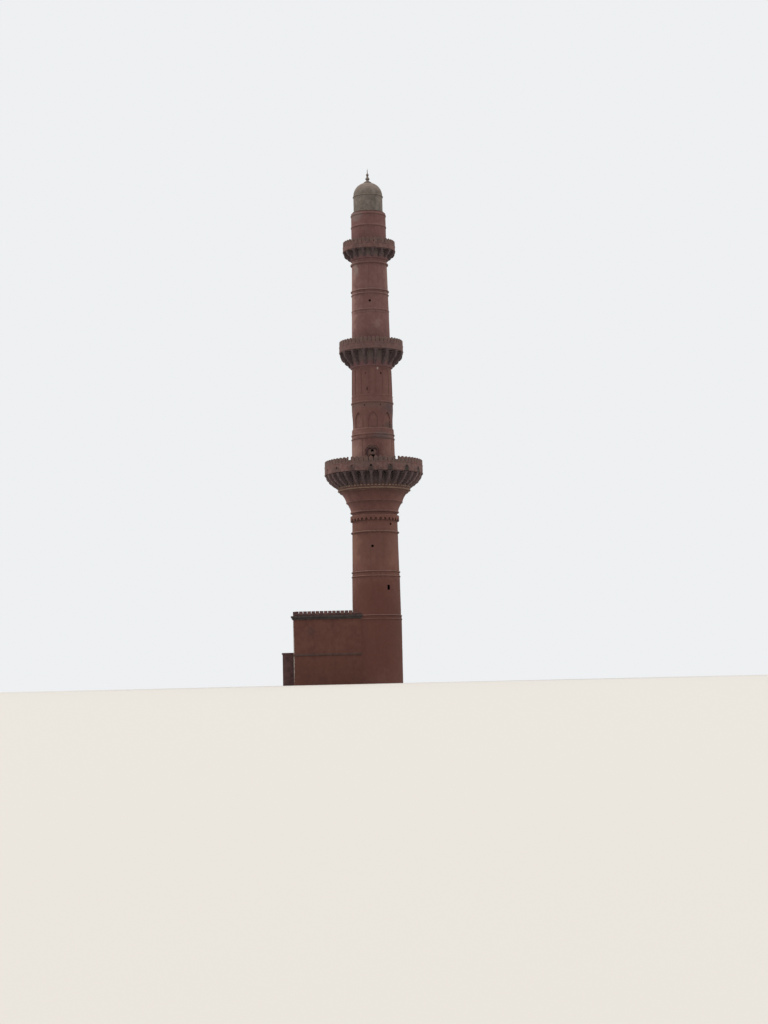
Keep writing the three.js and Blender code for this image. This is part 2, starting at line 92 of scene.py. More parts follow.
class Slot(Enum):
    """The record's material slots."""

    RED_PLASTER = "red_plaster"
    HALL_PLASTER = "hall_plaster"
    BRACKET_STONE = "bracket_stone"
    PARAPET = "weathered_parapet"
    DOME = "grey_dome"
    FLOOR = "floor_stone"


class Side(Enum):
    """The sides of the tower that windows face, by bearing."""

    FRONT = 0
    REAR = 180


# Modelling


def spot(bearing: float, out: float, height: float, along: float = 0.0) -> Vector:
    """Finds a place in the model from its place on the real tower.

    Args:
        bearing: The way it faces from the axis, in degrees.
        out: Its distance from the axis that way.
        height: Its height above the ground.
        along: Its distance sideways, to the right for someone looking out from the axis backwards.

    Returns:
        The place in the model's metres.
    """
    turn = math.radians(bearing)
    x = out * math.sin(turn) + along * math.cos(turn)
    y = along * math.sin(turn) - out * math.cos(turn)
    return Vector((x, y, height)) * SCALE


def activate(piece: Piece) -> None:
    """Selects one piece alone and makes it active.

    Args:
        piece: The piece.
    """
    bpy.ops.object.select_all(action="DESELECT")
    piece.select_set(True)
    bpy.context.view_layer.objects.active = piece


@contextmanager
def editing(piece: Piece, everything: bool = True) -> Iterator[None]:
    """Opens a piece in edit mode and closes it again.

    Args:
        piece: The piece to edit.
        everything: Whether all of it is selected, or what was selected in code before.
    """
    activate(piece)
    bpy.ops.object.mode_set(mode="EDIT")
    bpy.ops.mesh.select_mode(type="VERT")
    if everything:
        bpy.ops.mesh.select_all(action="SELECT")
    try:
        yield
    finally:
        bpy.ops.object.mode_set(mode="OBJECT")


def pick_points(piece: Piece, wanted: Callable[[Vector], bool]) -> None:
    """Selects some vertices, and nothing else.

    Args:
        piece: The piece whose vertices they are.
        wanted: The test that says by a vertex's place whether it is selected.
    """
    mesh = piece.data
    mesh.edges.foreach_set("select", [False] * len(mesh.edges))
    mesh.polygons.foreach_set("select", [False] * len(mesh.polygons))
    for vertex in mesh.vertices:
        vertex.select = wanted(vertex.co)


def chain(name: str, points: Sequence[Vector]) -> Piece:
    """Draws points joined by edges: a plane merged to one vertex, moved and extruded from point to point.

    Args:
        name: The new piece's name.
        points: The places to pass, in the model's metres.

    Returns:
        The new piece, which has no faces yet.
    """
    bpy.ops.object.select_all(action="DESELECT")
    bpy.ops.mesh.primitive_plane_add(size=SCALE, location=(0.0, 0.0, 0.0))
    piece = bpy.context.active_object
    piece.name = name
    piece.data.name = name
    with editing(piece):
        bpy.ops.mesh.merge(type="CENTER")
        bpy.ops.transform.translate(value=points[0])
        for start, end in zip(points, points[1:]):
            bpy.ops.mesh.extrude_region_move(TRANSFORM_OT_translate={"value": end - start})
    return piece


def plate(name: str, outline: Sequence[Vector], depth: Vector) -> Piece:
    """Makes a flat-sided solid from a closed outline.

    Args:
        name: The new piece's name.
        outline: The corners of one face, in order.
        depth: The way from that face to the opposite one.

    Returns:
        The new piece.
    """
    piece = chain(name, outline)
    with editing(piece):
        bpy.ops.mesh.edge_face_add()
        bpy.ops.mesh.extrude_region_move(TRANSFORM_OT_translate={"value": depth})
        bpy.ops.mesh.select_all(action="SELECT")
        bpy.ops.mesh.normals_make_consistent(inside=False)
    return piece


def turned(name: str, outline: Sequence[Point], sides: int = ROUND_SIDES) -> Piece:
    """Turns an outline of (radius, height) points about the tower's axis.

    Args:
        name: The new piece's name.
        outline: The points in order. An outline that keeps off the axis is closed.
        sides: How many steps the turn has.

    Returns:
        The new piece, closed, with its faces pointing outwards.
    """
    points = [spot(0.0, radius, height) for radius, height in outline]
    if outline[0][0] > 0:
        points.append(points[0].copy())
    piece = chain(name, points)
    with editing(piece):
        bpy.ops.mesh.spin(steps=sides, angle=math.tau, center=(0.0, 0.0, 0.0), axis=(0.0, 0.0, 1.0))
        bpy.ops.mesh.select_all(action="SELECT")
        bpy.ops.mesh.remove_doubles(threshold=WELD)
        bpy.ops.mesh.normals_make_consistent(inside=False)
    return piece


def ring(name: str, face: Sequence[Point], bore: float, sides: int = ROUND_SIDES) -> Piece:
    """Turns a wall's face, drawn from the bottom up, into a ring with a straight bore of some radius."""
    return turned(name, [*face, (bore, face[-1][1]), (bore, face[0][1])], sides)


def face_on(
    name: str, outline: Sequence[Point], out: float, back: float, bearing: float = 0.0, along: float = 0.0
) -> Piece:
    """Makes a solid from an outline of (sideways, height), as someone in front of it sees it.

    Args:
        name: The new piece's name.
        outline: The corners, in order.
        out: The distance of its face from the axis.
        back: The distance of its back from the axis.
        bearing: The way it faces.
        along: How far sideways it stands.

    Returns:
        The new piece.
    """
    corners = [spot(bearing, out, height, along + x) for x, height in outline]
    return plate(name, corners, spot(bearing, back - out, 0.0))


def side_on(name: str, outline: Sequence[Point], bearing: float, width: float) -> Piece:
    """Makes a solid of some width from an outline of (radius, height), as seen from its side."""
    corners = [spot(bearing, radius, height, -width / 2) for radius, height in outline]
    return plate(name, corners, spot(bearing, 0.0, 0.0, width))


def box_outline(half: float, low: float, high: float) -> tuple[Point, ...]:
    """Draws a rectangle of (sideways, height) that is twice the half wide."""
    return (-half, low), (half, low), (half, high), (-half, high)


def block(name: str, low: Sequence[float], high: Sequence[float]) -> Piece:
    """Makes a block along the axes.

    Args:
        name: The new piece's name.
        low: Its lowest corner, in real metres along X, Y and Z.
        high: Its highest corner.

    Returns:
        The new piece.
    """
    (x0, y0, z0), (x1, y1, z1) = low, high
    corners = ((x0, y0), (x1, y0), (x1, y1), (x0, y1))
    return plate(name, [Vector((x, y, z0)) * SCALE for x, y in corners], Vector((0.0, 0.0, z1 - z0)) * SCALE)


def sliced(piece: Piece, axes: Sequence[int], spacing: float = ROW_HEIGHT) -> Piece:
    """Cuts a piece's faces across at even steps, so that a long wall can be uneven.

    Args:
        piece: The piece to cut.
        axes: The axes to step along, 0 for X to 2 for Z.
        spacing: The real distance between the cuts, as near as it goes.

    Returns:
        The same piece.
    """
    for axis in axes:
        places = [vertex.co[axis] for vertex in piece.data.vertices]
        low, high = min(places), max(places)
        count = max(1, round((high - low) / (spacing * SCALE)))
        normal = Vector((0.0, 0.0, 0.0))
        normal[axis] = 1.0
        with editing(piece):
            for step in range(1, count):
                bpy.ops.mesh.select_all(action="SELECT")
                place = normal * (low + (high - low) * step / count)
                bpy.ops.mesh.bisect(plane_co=place, plane_no=normal)
    return piece


def tube(name: str, points: Sequence[Vector], thick: float) -> Piece:
    """Makes a round bar along a line of points, as a closed mesh.

    Args:
        name: The new piece's name.
        points: The line, in the model's metres.
        thick: The bar's real diameter.

    Returns:
        The new piece.
    """
    piece = chain(name, points)
    activate(piece)
    bpy.ops.object.convert(target="CURVE")
    line = bpy.context.active_object.data
    line.bevel_depth = thick * SCALE / 2
    line.bevel_resolution = 1
    line.use_fill_caps = True
    bpy.ops.object.convert(target="MESH")
    return bpy.context.active_object


def shape_with(piece: Piece, kind: str, **settings: object) -> Piece:
    """Adds a modifier and applies it.

    Args:
        piece: The piece to shape.
        kind: The modifier's type.
        settings: The modifier's settings.

    Returns:
        The same piece.
    """
    activate(piece)
    modifier = piece.modifiers.new(kind.lower(), kind)
    for key, value in settings.items():
        setattr(modifier, key, value)
    bpy.context.view_layer.update()
    bpy.ops.object.modifier_apply(modifier=modifier.name)
    return piece


def around(piece: Piece, count: int) -> Piece:
    """Repeats a piece at even steps all round the tower's axis.

    Args:
        piece: The piece to repeat.
        count: How many there are in all.

    Returns:
        The same piece, now a whole ring of them.
    """
    bpy.ops.object.empty_add(location=(0.0, 0.0, 0.0))
    pivot = bpy.context.active_object
    pivot.rotation_euler.z = math.tau / count
    turning = {"use_relative_offset": False, "use_object_offset": True, "offset_object": pivot}
    shape_with(piece, "ARRAY", count=count, **turning)
    bpy.data.objects.remove(pivot)
    return piece


def in_row(piece: Piece, count: int, step: Vector) -> Piece:
    """Repeats a piece in a straight row, each copy one step on, in the model's metres."""
    moving = {"use_relative_offset": False, "use_constant_offset": True, "constant_offset_displace": step}
    return shape_with(piece, "ARRAY", count=count, **moving)


def joined(pieces: Sequence[Piece]) -> Piece:
    """Joins pieces.

    Args:
        pieces: The pieces. The first one takes in the others.

    Returns:
        The first one.
    """
    activate(pieces[0])
    for piece in pieces[1:]:
        piece.select_set(True)
    bpy.ops.object.join()
    return pieces[0]


def cut(piece: Piece, cutters: Sequence[Piece]) -> Piece:
    """Cuts pieces out of a piece.

    Args:
        piece: The piece to cut.
        cutters: The pieces to cut out of it, which are removed.

    Returns:
        The same piece.
    """
    for cutter in cutters:
        shape_with(piece, "BOOLEAN", operation="DIFFERENCE", solver="EXACT", object=cutter)
        bpy.data.objects.remove(cutter)
    return piece


def rounded(piece: Piece, width: float, segments: int = 2) -> Piece:
    """Wears a piece's sharp edges round, by a real width."""
    sharp = {"limit_method": "ANGLE", "angle_limit": math.radians(EDGE_ANGLE)}
    return shape_with(piece, "BEVEL", width=width * SCALE, segments=segments, **sharp)


def hand_laid(piece: Piece, swell_mm: float = 16.0, size_mm: float = 900.0) -> Piece:
    """Makes a surface uneven, as plaster laid by hand on rough masonry is.

    Args:
        piece: The piece to shape.
        swell_mm: The real height from the lowest to the highest place.
        size_mm: The real size of a swell.

    Returns:
        The same piece.
    """
    swells = bpy.data.textures.new(f"{piece.name}_swells", "CLOUDS")
    swells.noise_scale = size_mm / 1000 * SCALE
    return shape_with(piece, "DISPLACE", texture=swells, strength=swell_mm / 1000 * SCALE, mid_level=0.5)


def grounded(piece: Piece) -> Piece:
    """Sets what the swells pushed below the ground back on it.

    Args:
        piece: The piece that stands on the ground.

    Returns:
        The same piece.
    """
    pick_points(piece, lambda place: place.z < 0)
    with editing(piece, everything=False):
        bpy.ops.transform.resize(value=(1.0, 1.0, 0.0), center_override=(0.0, 0.0, 0.0))
    return piece


# Outlines


def quarter_round(start: Point, end: Point, steps: int = 3) -> list[Point]:
    """Draws a convex quarter round that leaves its start outwards and reaches its end upwards.

    Args:
        start: Where it starts, as (radius, height).
        end: Where it ends.
        steps: How many straight steps it has.

    Returns:
        Its points, both ends among them.
    """
    (r0, z0), (r1, z1) = start, end
    turns = [math.pi / 2 * step / steps for step in range(steps + 1)]
    return [(r0 + (r1 - r0) * math.sin(t), z1 - (z1 - z0) * math.cos(t)) for t in turns]


@dataclass(frozen=True)
class Roll:
    """A moulding that runs round a wall: half round, or a tall flat band with rounded edges."""

    low: float
    high: float
    radius: float
    edge: float = 0.06
    tall: float = 0.5
    steps: int = 6

    def points(self, wall_low: float, wall_high: float) -> list[Point]:
        """Draws it on a wall.

        Args:
            wall_low: The wall's radius at its foot.
            wall_high: The wall's radius at its head.

        Returns:
            Its points of (radius, height), from the bottom up.
        """
        if self.high - self.low > self.tall:
            lower = quarter_round((wall_low, self.low), (self.radius, self.low + self.edge))
            upper = quarter_round((wall_high, self.high), (self.radius, self.high - self.edge))
            return [*lower, *reversed(upper)]
        middle, half = (self.low + self.high) / 2, (self.high - self.low) / 2
        drawn = []
        for step in range(self.steps + 1):
            turn = math.pi * (step / self.steps - 0.5)
            wall = wall_low if turn < 0 else wall_high
            drawn.append((wall + (self.radius - wall) * math.cos(turn), middle + half * math.sin(turn)))
        return drawn


@dataclass(frozen=True)
class Arch:
    """A pointed arch of two equal arcs, over a doorway, a recess or a niche."""

    half: float
    sill: float
    spring: float
    apex: float
    bearing: float = 0.0
    along: float = 0.0
    back: float = 0.0
    steps: int = 8
    lift: float = 1.4

    def outline(self, grow: float = 0.0) -> list[Point]:
        """Draws it.

        Args:
            grow: How much wider it is on each side, for a frame round it, which rises more than that.

        Returns:
            Points of (sideways, height) from the left foot over the apex to the right foot.
        """
        half = self.half + grow
        rise = self.apex + grow * self.lift - self.spring
        radius = (half * half + rise * rise) / (2 * half)
        sweep = math.asin(rise / radius)
        right = [
            (half - radius + radius * math.cos(turn), self.spring + radius * math.sin(turn))
            for turn in (sweep * step / self.steps for step in range(self.steps + 1))
        ]
        left = [(-x, height) for x, height in right]
        return [(-half, self.sill), *left, *reversed(right[:-1]), (half, self.sill)]

    def cutter(self) -> Piece:
        """Makes the solid that cuts it out of a wall, from far outside in to its back."""
        return face_on("arch_cutter", self.outline(), FAR_OUT, self.back, self.bearing, self.along)

    def frame(self, name: str, radius: float, thick: float, grow: float) -> Piece:
        """Makes a roll moulding round it, bent to the wall.

        Args:
            name: The new piece's name.
            radius: The wall's radius there.
            thick: The roll's diameter.
            grow: How far outside the opening it runs.

        Returns:
            The new piece.
        """
        line = []
        for x, height in self.outline(grow):
            bearing = self.bearing + math.degrees((self.along + x) / radius)
            line.append(spot(bearing, radius, height))
        return tube(name, line, thick)


@dataclass(frozen=True)
class Window:
    """A small four-sided window cut into a wall from outside, as far in as its back."""

    along: float
    height: float
    width: float
    tall: float
    side: Side = Side.FRONT
    back: float = 0.0

    def cutter(self) -> Piece:
        """Makes the solid that cuts it."""
        outline = box_outline(self.width / 2, self.height - self.tall / 2, self.height + self.tall / 2)
        return face_on("window_cutter", outline, FAR_OUT, self.back, self.side.value, self.along)


# Finishes


def linear(colour: str) -> Colour:
    """Turns an sRGB hex colour to linear light.

    Args:
        colour: The colour, such as #7a4a3c.

    Returns:
        Its red, green and blue, and full alpha.
    """
    parts = [int(colour[i : i + 2], 16) / 255 for i in (1, 3, 5)]
    red, green, blue = (p / 12.92 if p <= 0.04045 else ((p + 0.055) / 1.055) ** 2.4 for p in parts)
    return red, green, blue, 1.0


def per_metre(size_mm: float) -> float:
    """Works out the scale of a pattern in the model from the real size of one of its features."""
    return 1000 / (size_mm * SCALE)


def add(tree: Tree, kind: str, inputs: dict | tuple = (), out: int = 0, **settings: object) -> Socket | None:
    """Adds a node with its settings and links.

    Args:
        tree: The material's nodes.
        kind: The node's type, without the word ShaderNode.
        inputs: Its first inputs in order, or some by name or number, each a value or a socket to link.
        out: Which of its outputs is wanted.
        settings: The node's own settings.

    Returns:
        The wanted output, or None for a node without outputs.
    """
    node = tree.nodes.new(f"ShaderNode{kind}")
    for key, value in settings.items():
        setattr(node, key, value)
    for key, value in inputs.items() if isinstance(inputs, dict) else enumerate(inputs):
        if isinstance(value, Socket):
            tree.links.new(value, node.inputs[key])
        else:
            node.inputs[key].default_value = value
    return node.outputs[out] if node.outputs else None


@dataclass(frozen=True)
class Finish:
    """What every finish has: its material's name, the record's slot for it, and how to build it."""

    name: str
    slot: Slot

    @cache
    def material(self) -> bpy.types.Material:
        """Builds the material, the first time that it is wanted."""
        made = bpy.data.materials.new(self.name)
        made.use_nodes = True
        tree = made.node_tree
        tree.nodes.clear()
        shader = self.surface(tree, add(tree, "TexCoord", out=3))
        add(tree, "OutputMaterial", (shader,))
        return made

    def surface(self, tree: Tree, place: Socket) -> Socket:
        """Builds the shader, from nodes that are read at a place on the piece. Each finish has its own."""
        raise NotImplementedError


@dataclass(frozen=True)
class StainAndLightPatch:
    """A soft-edged patch of another colour on a wall, or a band round it if it is wide and on the axis. Some
    are real stains and some are painted light and shade.
    """

    bearing: float
    out: float
    height: float
    wide: float
    tall: float
    colour: str
    strength: float = 0.7
    soft: float = 0.0
    near: float = 0.7
    far: float = 1.45
    ragged: float = 0.7


@dataclass(frozen=True)
class Limewash(Finish):
    """Limewash over hand-laid lime plaster on masonry.

    Lime plaster is matt and chalky, with no clear coat, so it is rough all over. Its colour comes from
    thin brushed coats of tinted lime that fade unevenly, run down in the rain and wear off at the edges.
    Its coats are the wash, where it lies deep, where it has faded, and the plaster where it is worn off.
    """

    coats: tuple[str, str, str, str]
    # The colour of soot in cracks and rain runs, and of painted shade on what faces down and far in between
    # brackets.
    soot_and_shade: str = "#241c19"
    wear: float = 0.35
    streaks: float = 0.14
    cracks: float = 0.22
    mottle: float = 0.5
    flaked: float = 0.55
    gritty: float = 0.22
    # The share of dust and painted top light on what faces up, and of painted shade on what faces down.
    dust_and_facing_shade: float = 0.35
    ledges: tuple[float, ...] = ()
    stains_and_light: tuple[StainAndLightPatch, ...] = ()
    roughness: float = 0.93
    patch_mm: float = 2300.0
    blotch_mm: float = 520.0
    flake_mm: float = 150.0
    grit_mm: float = 14.0
    crack_mm: float = 1500.0
    crack_width: float = 0.011
    run_mm: float = 260.0
    run_stretch: float = 0.06
    # How far below a ledge its dark drips and painted shadow reach, and their share.
    drip_and_shade_reach: float = 0.45
    drips_and_shade: float = 0.3
    # The colour of dust and painted top light on what faces up.
    dust_and_top_light: str = "#a08a80"

    def surface(self, tree: Tree, place: Socket) -> Socket:
        """Builds the coats, what weather did to them, and painted light and shade, on a matt shader.

        Args:
            tree: The material's nodes.
            place: Where on the piece they are read.

        Returns:
            The shader's output.
        """
        colour, relief = self.coated(tree, place)
        for weather_and_painted_light in (self.runs, self.stained_and_lit, self.shaded):
            colour = weather_and_painted_light(tree, place, colour)
        bump = add(tree, "Bump", {"Height": relief, "Strength": 0.55, "Distance": 0.006})
        matt = {"Roughness": self.roughness, "Specular IOR Level": 0.25}
        return add(tree, "BsdfPrincipled", {"Base Color": colour, **matt, "Normal": bump})

    def patches(
        self, tree: Tree, place: Socket, size_mm: float, low: float, high: float, detail: float = 5.0
    ) -> Socket:
        """Makes cloudy patches of a real size.

        Args:
            tree: The material's nodes.
            place: Where on the piece they are read.
            size_mm: The size of a patch.
            low: The cloud's value that gives 0.
            high: The cloud's value that gives 1.
            detail: How many finer layers they have.

        Returns:
            A factor from 0 to 1.
        """
        grain = {"Scale": per_metre(size_mm), "Detail": detail, "Roughness": 0.6}
        cloud = add(tree, "TexNoise", {"Vector": place, **grain})
        return add(tree, "MapRange", (cloud, low, high), interpolation_type="SMOOTHSTEP")

    def laid(self, tree: Tree, amount: Socket, below: Socket | Colour, over: str, share: float) -> Socket:
        """Lays a hex colour over what is below, by an amount, at most the share."""
        amount = add(tree, "Math", (amount, share), operation="MULTIPLY")
        return add(tree, "Mix", {0: amount, 6: below, 7: linear(over)}, 2, data_type="RGBA")

    def coated(self, tree: Tree, place: Socket) -> tuple[Socket, Socket]:
        """Builds the coats of wash, their wear and the plaster's cracks and grit.

        Args:
            tree: The material's nodes.
            place: Where on the piece they are read.

        Returns:
            The colour, and the height that the bump reads.
        """
        wash, deep, faded, worn = self.coats
        blotches = self.patches(tree, place, self.blotch_mm, 0.4, 0.66)
        flakes = self.patches(tree, place, self.flake_mm, 0.68 - self.wear * 0.2, 0.74, 8.0)
        grit = self.patches(tree, place, self.grit_mm, 0.2, 0.8, 2.0)
        cracks = self.crack_lines(tree, place)
        layers = (
            (self.patches(tree, place, self.patch_mm, 0.36, 0.64), deep, self.mottle),
            (blotches, faded, self.mottle),
            (flakes, worn, self.flaked),
            (grit, deep, self.gritty),
            (cracks, self.soot_and_shade, self.cracks),
        )
        colour = linear(wash)
        for amount, over, share in layers:
            colour = self.laid(tree, amount, colour, over, share)
        relief = 0.0
        for form, height in ((grit, 0.35), (blotches, 0.6), (flakes, -0.4), (cracks, -0.9)):
            relief = add(tree, "Math", (form, height, relief), operation="MULTIPLY_ADD")
        return colour, relief

    def crack_lines(self, tree: Tree, place: Socket) -> Socket:
        """Draws hair cracks along the edges of uneven cells, in some places only.

        Args:
            tree: The material's nodes.
            place: Where on the piece they are read.

        Returns:
            A factor from 0 to 1, which is 1 in a crack.
        """
        swirl = {"Vector": place, "Scale": per_metre(self.crack_mm / 3), "Detail": 3.0}
        bend = add(tree, "TexNoise", swirl, 1)
        cells = add(tree, "Mix", {0: 0.08, 4: place, 5: bend}, 1, data_type="VECTOR")
        cells = {"Vector": cells, "Scale": per_metre(self.crack_mm)}
        edge = add(tree, "TexVoronoi", cells, feature="DISTANCE_TO_EDGE")
        lines = add(tree, "MapRange", (edge, 0.0, self.crack_width, 1.0, 0.0))
        cracked = self.patches(tree, place, self.crack_mm * 1.7, 0.5, 0.62, 1.0)
        return add(tree, "Math", (lines, cracked), operation="MULTIPLY")

    def runs(self, tree: Tree, place: Socket, colour: Socket) -> Socket:
        """Lays the dark runs of rain over the colour all over, and dark drips with a painted shadow below
        each ledge.

        Args:
            tree: The material's nodes.
            place: Where on the piece they are read.
            colour: The colour below.

        Returns:
            The colour with this over it.
        """
        tall = add(tree, "Mapping", {"Vector": place, "Scale": (1.0, 1.0, self.run_stretch)})
        streaks = self.patches(tree, tall, self.run_mm, 0.5, 0.72, 4.0)
        colour = self.laid(tree, streaks, colour, self.soot_and_shade, self.streaks)
        if not self.ledges:
            return colour
        # Below each ledge: dark drips of rain, with the ledge's painted shadow.
        height = add(tree, "SeparateXYZ", (place,), 2)
        drips_and_shade = 0.0
        for ledge in self.ledges:
            fade = add(tree, "MapRange", (height, (ledge - self.drip_and_shade_reach) * SCALE, ledge * SCALE))
            under = add(tree, "Math", (height, ledge * SCALE), operation="LESS_THAN")
            fade = add(tree, "Math", (fade, under), operation="MULTIPLY")
            drips_and_shade = add(tree, "Math", (fade, drips_and_shade), operation="MAXIMUM")
        uneven = self.patches(tree, tall, self.run_mm * 0.7, 0.3, 0.7, 3.0)
        drips_and_shade = add(tree, "Math", (drips_and_shade, uneven), operation="MULTIPLY")
        return self.laid(tree, drips_and_shade, colour, self.soot_and_shade, self.drips_and_shade)

    def stained_and_lit(self, tree: Tree, place: Socket, colour: Socket) -> Socket:
        """Lays each stain, and each patch of painted light and shade, over the colour, with a ragged edge.

        Args:
            tree: The material's nodes.
            place: Where on the piece they are read.
            colour: The colour below.

        Returns:
            The colour with this over it.
        """
        for mark in self.stains_and_light:
            centre = spot(mark.bearing, mark.out, mark.height)
            half = Vector((mark.wide, mark.wide, mark.tall)) * SCALE / 2
            away = add(tree, "VectorMath", (place, centre), operation="SUBTRACT")
            away = add(tree, "VectorMath", (away, half), operation="DIVIDE")
            away = add(tree, "VectorMath", (away,), 1, operation="LENGTH")
            edge = self.patches(tree, place, mark.wide * 350, 0.3, 0.7)
            away = add(tree, "Math", (edge, mark.ragged, away), operation="MULTIPLY_ADD")
            fade = (away, mark.near - mark.soft, mark.far + mark.soft, 1.0, 0.0)
            amount = add(tree, "MapRange", fade, interpolation_type="SMOOTHSTEP")
            colour = self.laid(tree, amount, colour, mark.colour, mark.strength)
        return colour

    def shaded(self, tree: Tree, place: Socket, colour: Socket) -> Socket:
        """Pales what faces up, with dust and lime washed down and a painted top light, and darkens what
        faces down with painted shade.

        Args:
            tree: The material's nodes.
            place: Not used here; the overrides read it.
            colour: The colour below.

        Returns:
            The colour with this over it.
        """
        up = add(tree, "SeparateXYZ", (add(tree, "TexCoord", out=1),), 2)
        for sign, over in ((1, self.dust_and_top_light), (-1, self.soot_and_shade)):
            facing = add(tree, "MapRange", (up, sign * 0.15, sign * 0.75))
            colour = self.laid(tree, facing, colour, over, self.dust_and_facing_shade)
        return colour


@dataclass(frozen=True)
class BracketStone(Limewash):
    """Cut stone brackets with worn wash, darkened with painted shade far in between them, where light
    doesn't reach.

    The stone's front slopes from the inner radius at its foot to the outer one at its head. The painted
    shade starts a little behind that slope and is full further behind it, at the two distances set below.
    Low down there is less of it.
    """

    inner: float = 4.4
    outer: float = 5.9
    low: float = 23.6
    high: float = 25.45
    depth: float = 0.9
    shade_starts: float = 0.04
    shade_full: float = 0.3
    at_foot: float = 0.25
    full_at: float = 0.55

    def shaded(self, tree: Tree, place: Socket, colour: Socket) -> Socket:
        """Paints shade on the stone towards the wall and towards the floor above.

        Args:
            tree: The material's nodes.
            place: Where on the piece they are read.
            colour: The colour below.

        Returns:
            The colour with this over it.
        """
        flat = add(tree, "VectorMath", (place, (1.0, 1.0, 0.0)), operation="MULTIPLY")
        radius = add(tree, "VectorMath", (flat,), 1, operation="LENGTH")
        height = add(tree, "SeparateXYZ", (place,), 2)
        up = add(tree, "MapRange", (height, self.low * SCALE, self.high * SCALE))
        face = add(tree, "MapRange", (up, 0.0, 1.0, self.inner * SCALE, self.outer * SCALE))
        behind = add(tree, "Math", (face, radius), operation="SUBTRACT")
        deep = (behind, self.shade_starts * SCALE, self.shade_full * SCALE)
        amount = add(tree, "MapRange", deep, interpolation_type="SMOOTHSTEP")
        rising = add(tree, "MapRange", (up, 0.0, self.full_at, self.at_foot, 1.0))
        amount = add(tree, "Math", (amount, rising), operation="MULTIPLY")
        return self.laid(tree, amount, colour, self.soot_and_shade, self.depth)


@dataclass(frozen=True)
class WeatheredParapet(Limewash):
    """A gallery wall whose wash has weathered to grey, with algae where its drains run down.

    The runs are faint on the left, up to faint_at along X, and darkest from dark_at on. Their half widths,
    run_core and run_edge, are shares of the distance between two drains.
    """

    drains: int = 16
    drain_height: float = 26.0
    full_below: float = 0.1
    none_above: float = 0.25
    run_core: float = 0.09
    run_edge: float = 0.23
    ragged: float = 0.03
    ragged_mm: float = 240.0
    faint_at: float = -5.0
    dark_at: float = 3.0
    faint: float = 0.35
    darkest: float = 0.9
    algae: str = "#322e2b"

    def shaded(self, tree: Tree, place: Socket, colour: Socket) -> Socket:
        """Lays a dark run below each drain, darker towards the right.

        Args:
            tree: The material's nodes.
            place: Where on the piece they are read.
            colour: The colour below.

        Returns:
            The colour with this over it.
        """
        x = add(tree, "SeparateXYZ", (place,))
        y, z = x.node.outputs[1], x.node.outputs[2]
        front = add(tree, "Math", (y, -1.0), operation="MULTIPLY")
        turn = add(tree, "Math", (x, front), operation="ARCTAN2")
        count = (turn, self.drains / math.tau, self.drains + 0.5)
        count = add(tree, "Math", count, operation="MULTIPLY_ADD")
        share = add(tree, "Math", (count,), operation="FRACT")
        aside = add(tree, "Math", (share, 0.5), operation="SUBTRACT")
        aside = add(tree, "Math", (aside,), operation="ABSOLUTE")
        ragged = self.patches(tree, place, self.ragged_mm, 0.3, 0.7, 4.0)
        aside = add(tree, "Math", (ragged, self.ragged, aside), operation="MULTIPLY_ADD")
        edge = (aside, self.run_core, self.run_edge, 1.0, 0.0)
        run = add(tree, "MapRange", edge, interpolation_type="SMOOTHSTEP")
        low = (self.drain_height - self.full_below) * SCALE
        high = (self.drain_height + self.none_above) * SCALE
        below = add(tree, "MapRange", (z, low, high, 1.0, 0.0))
        sides = (x, self.faint_at * SCALE, self.dark_at * SCALE, self.faint, 1.0)
        rightward = add(tree, "MapRange", sides)
        for amount in (below, rightward):
            run = add(tree, "Math", (run, amount), operation="MULTIPLY")
        return self.laid(tree, run, colour, self.algae, self.darkest)


@dataclass(frozen=True)
class Flagstone(Finish):
    """Worn flagstones laid in courses with lime joints: dull, a little smoother where feet have gone."""

    stone: str = "#6e645a"
    other: str = "#5c524a"
    joint: str = "#8a8176"
    length_mm: float = 900.0
    course_mm: float = 520.0
    joint_mm: float = 18.0
    grit_mm: float = 20.0
    roughness: float = 0.8

    def surface(self, tree: Tree, place: Socket) -> Socket:
        """Builds the courses of stone with their grit.

        Args:
            tree: The material's nodes.
            place: Where on the piece they are read.

        Returns:
            The shader's output.
        """
        colours = {"Color1": linear(self.stone), "Color2": linear(self.other), "Mortar": linear(self.joint)}
        sizes = {
            "Scale": 1.0,
            "Mortar Size": self.joint_mm / 1000 * SCALE / 2,
            "Mortar Smooth": 0.3,
            "Brick Width": self.length_mm / 1000 * SCALE,
            "Row Height": self.course_mm / 1000 * SCALE,
        }
        stones = add(tree, "TexBrick", {"Vector": place, **colours, **sizes})
        grain = {"Vector": place, "Scale": per_metre(self.grit_mm), "Detail": 4.0}
        grit = add(tree, "TexNoise", grain)
        worn = {0: 0.25, 6: stones, 7: grit}
        colour = add(tree, "Mix", worn, 2, data_type="RGBA", blend_type="OVERLAY")
        joints = stones.node.outputs[1]
        relief = add(tree, "Math", (joints, -0.8, grit), operation="MULTIPLY_ADD")
        bump = add(tree, "Bump", {"Height": relief, "Strength": 0.5, "Distance": 0.004})
        look = {"Base Color": colour, "Roughness": self.roughness, "Normal": bump}
        return add(tree, "BsdfPrincipled", look)


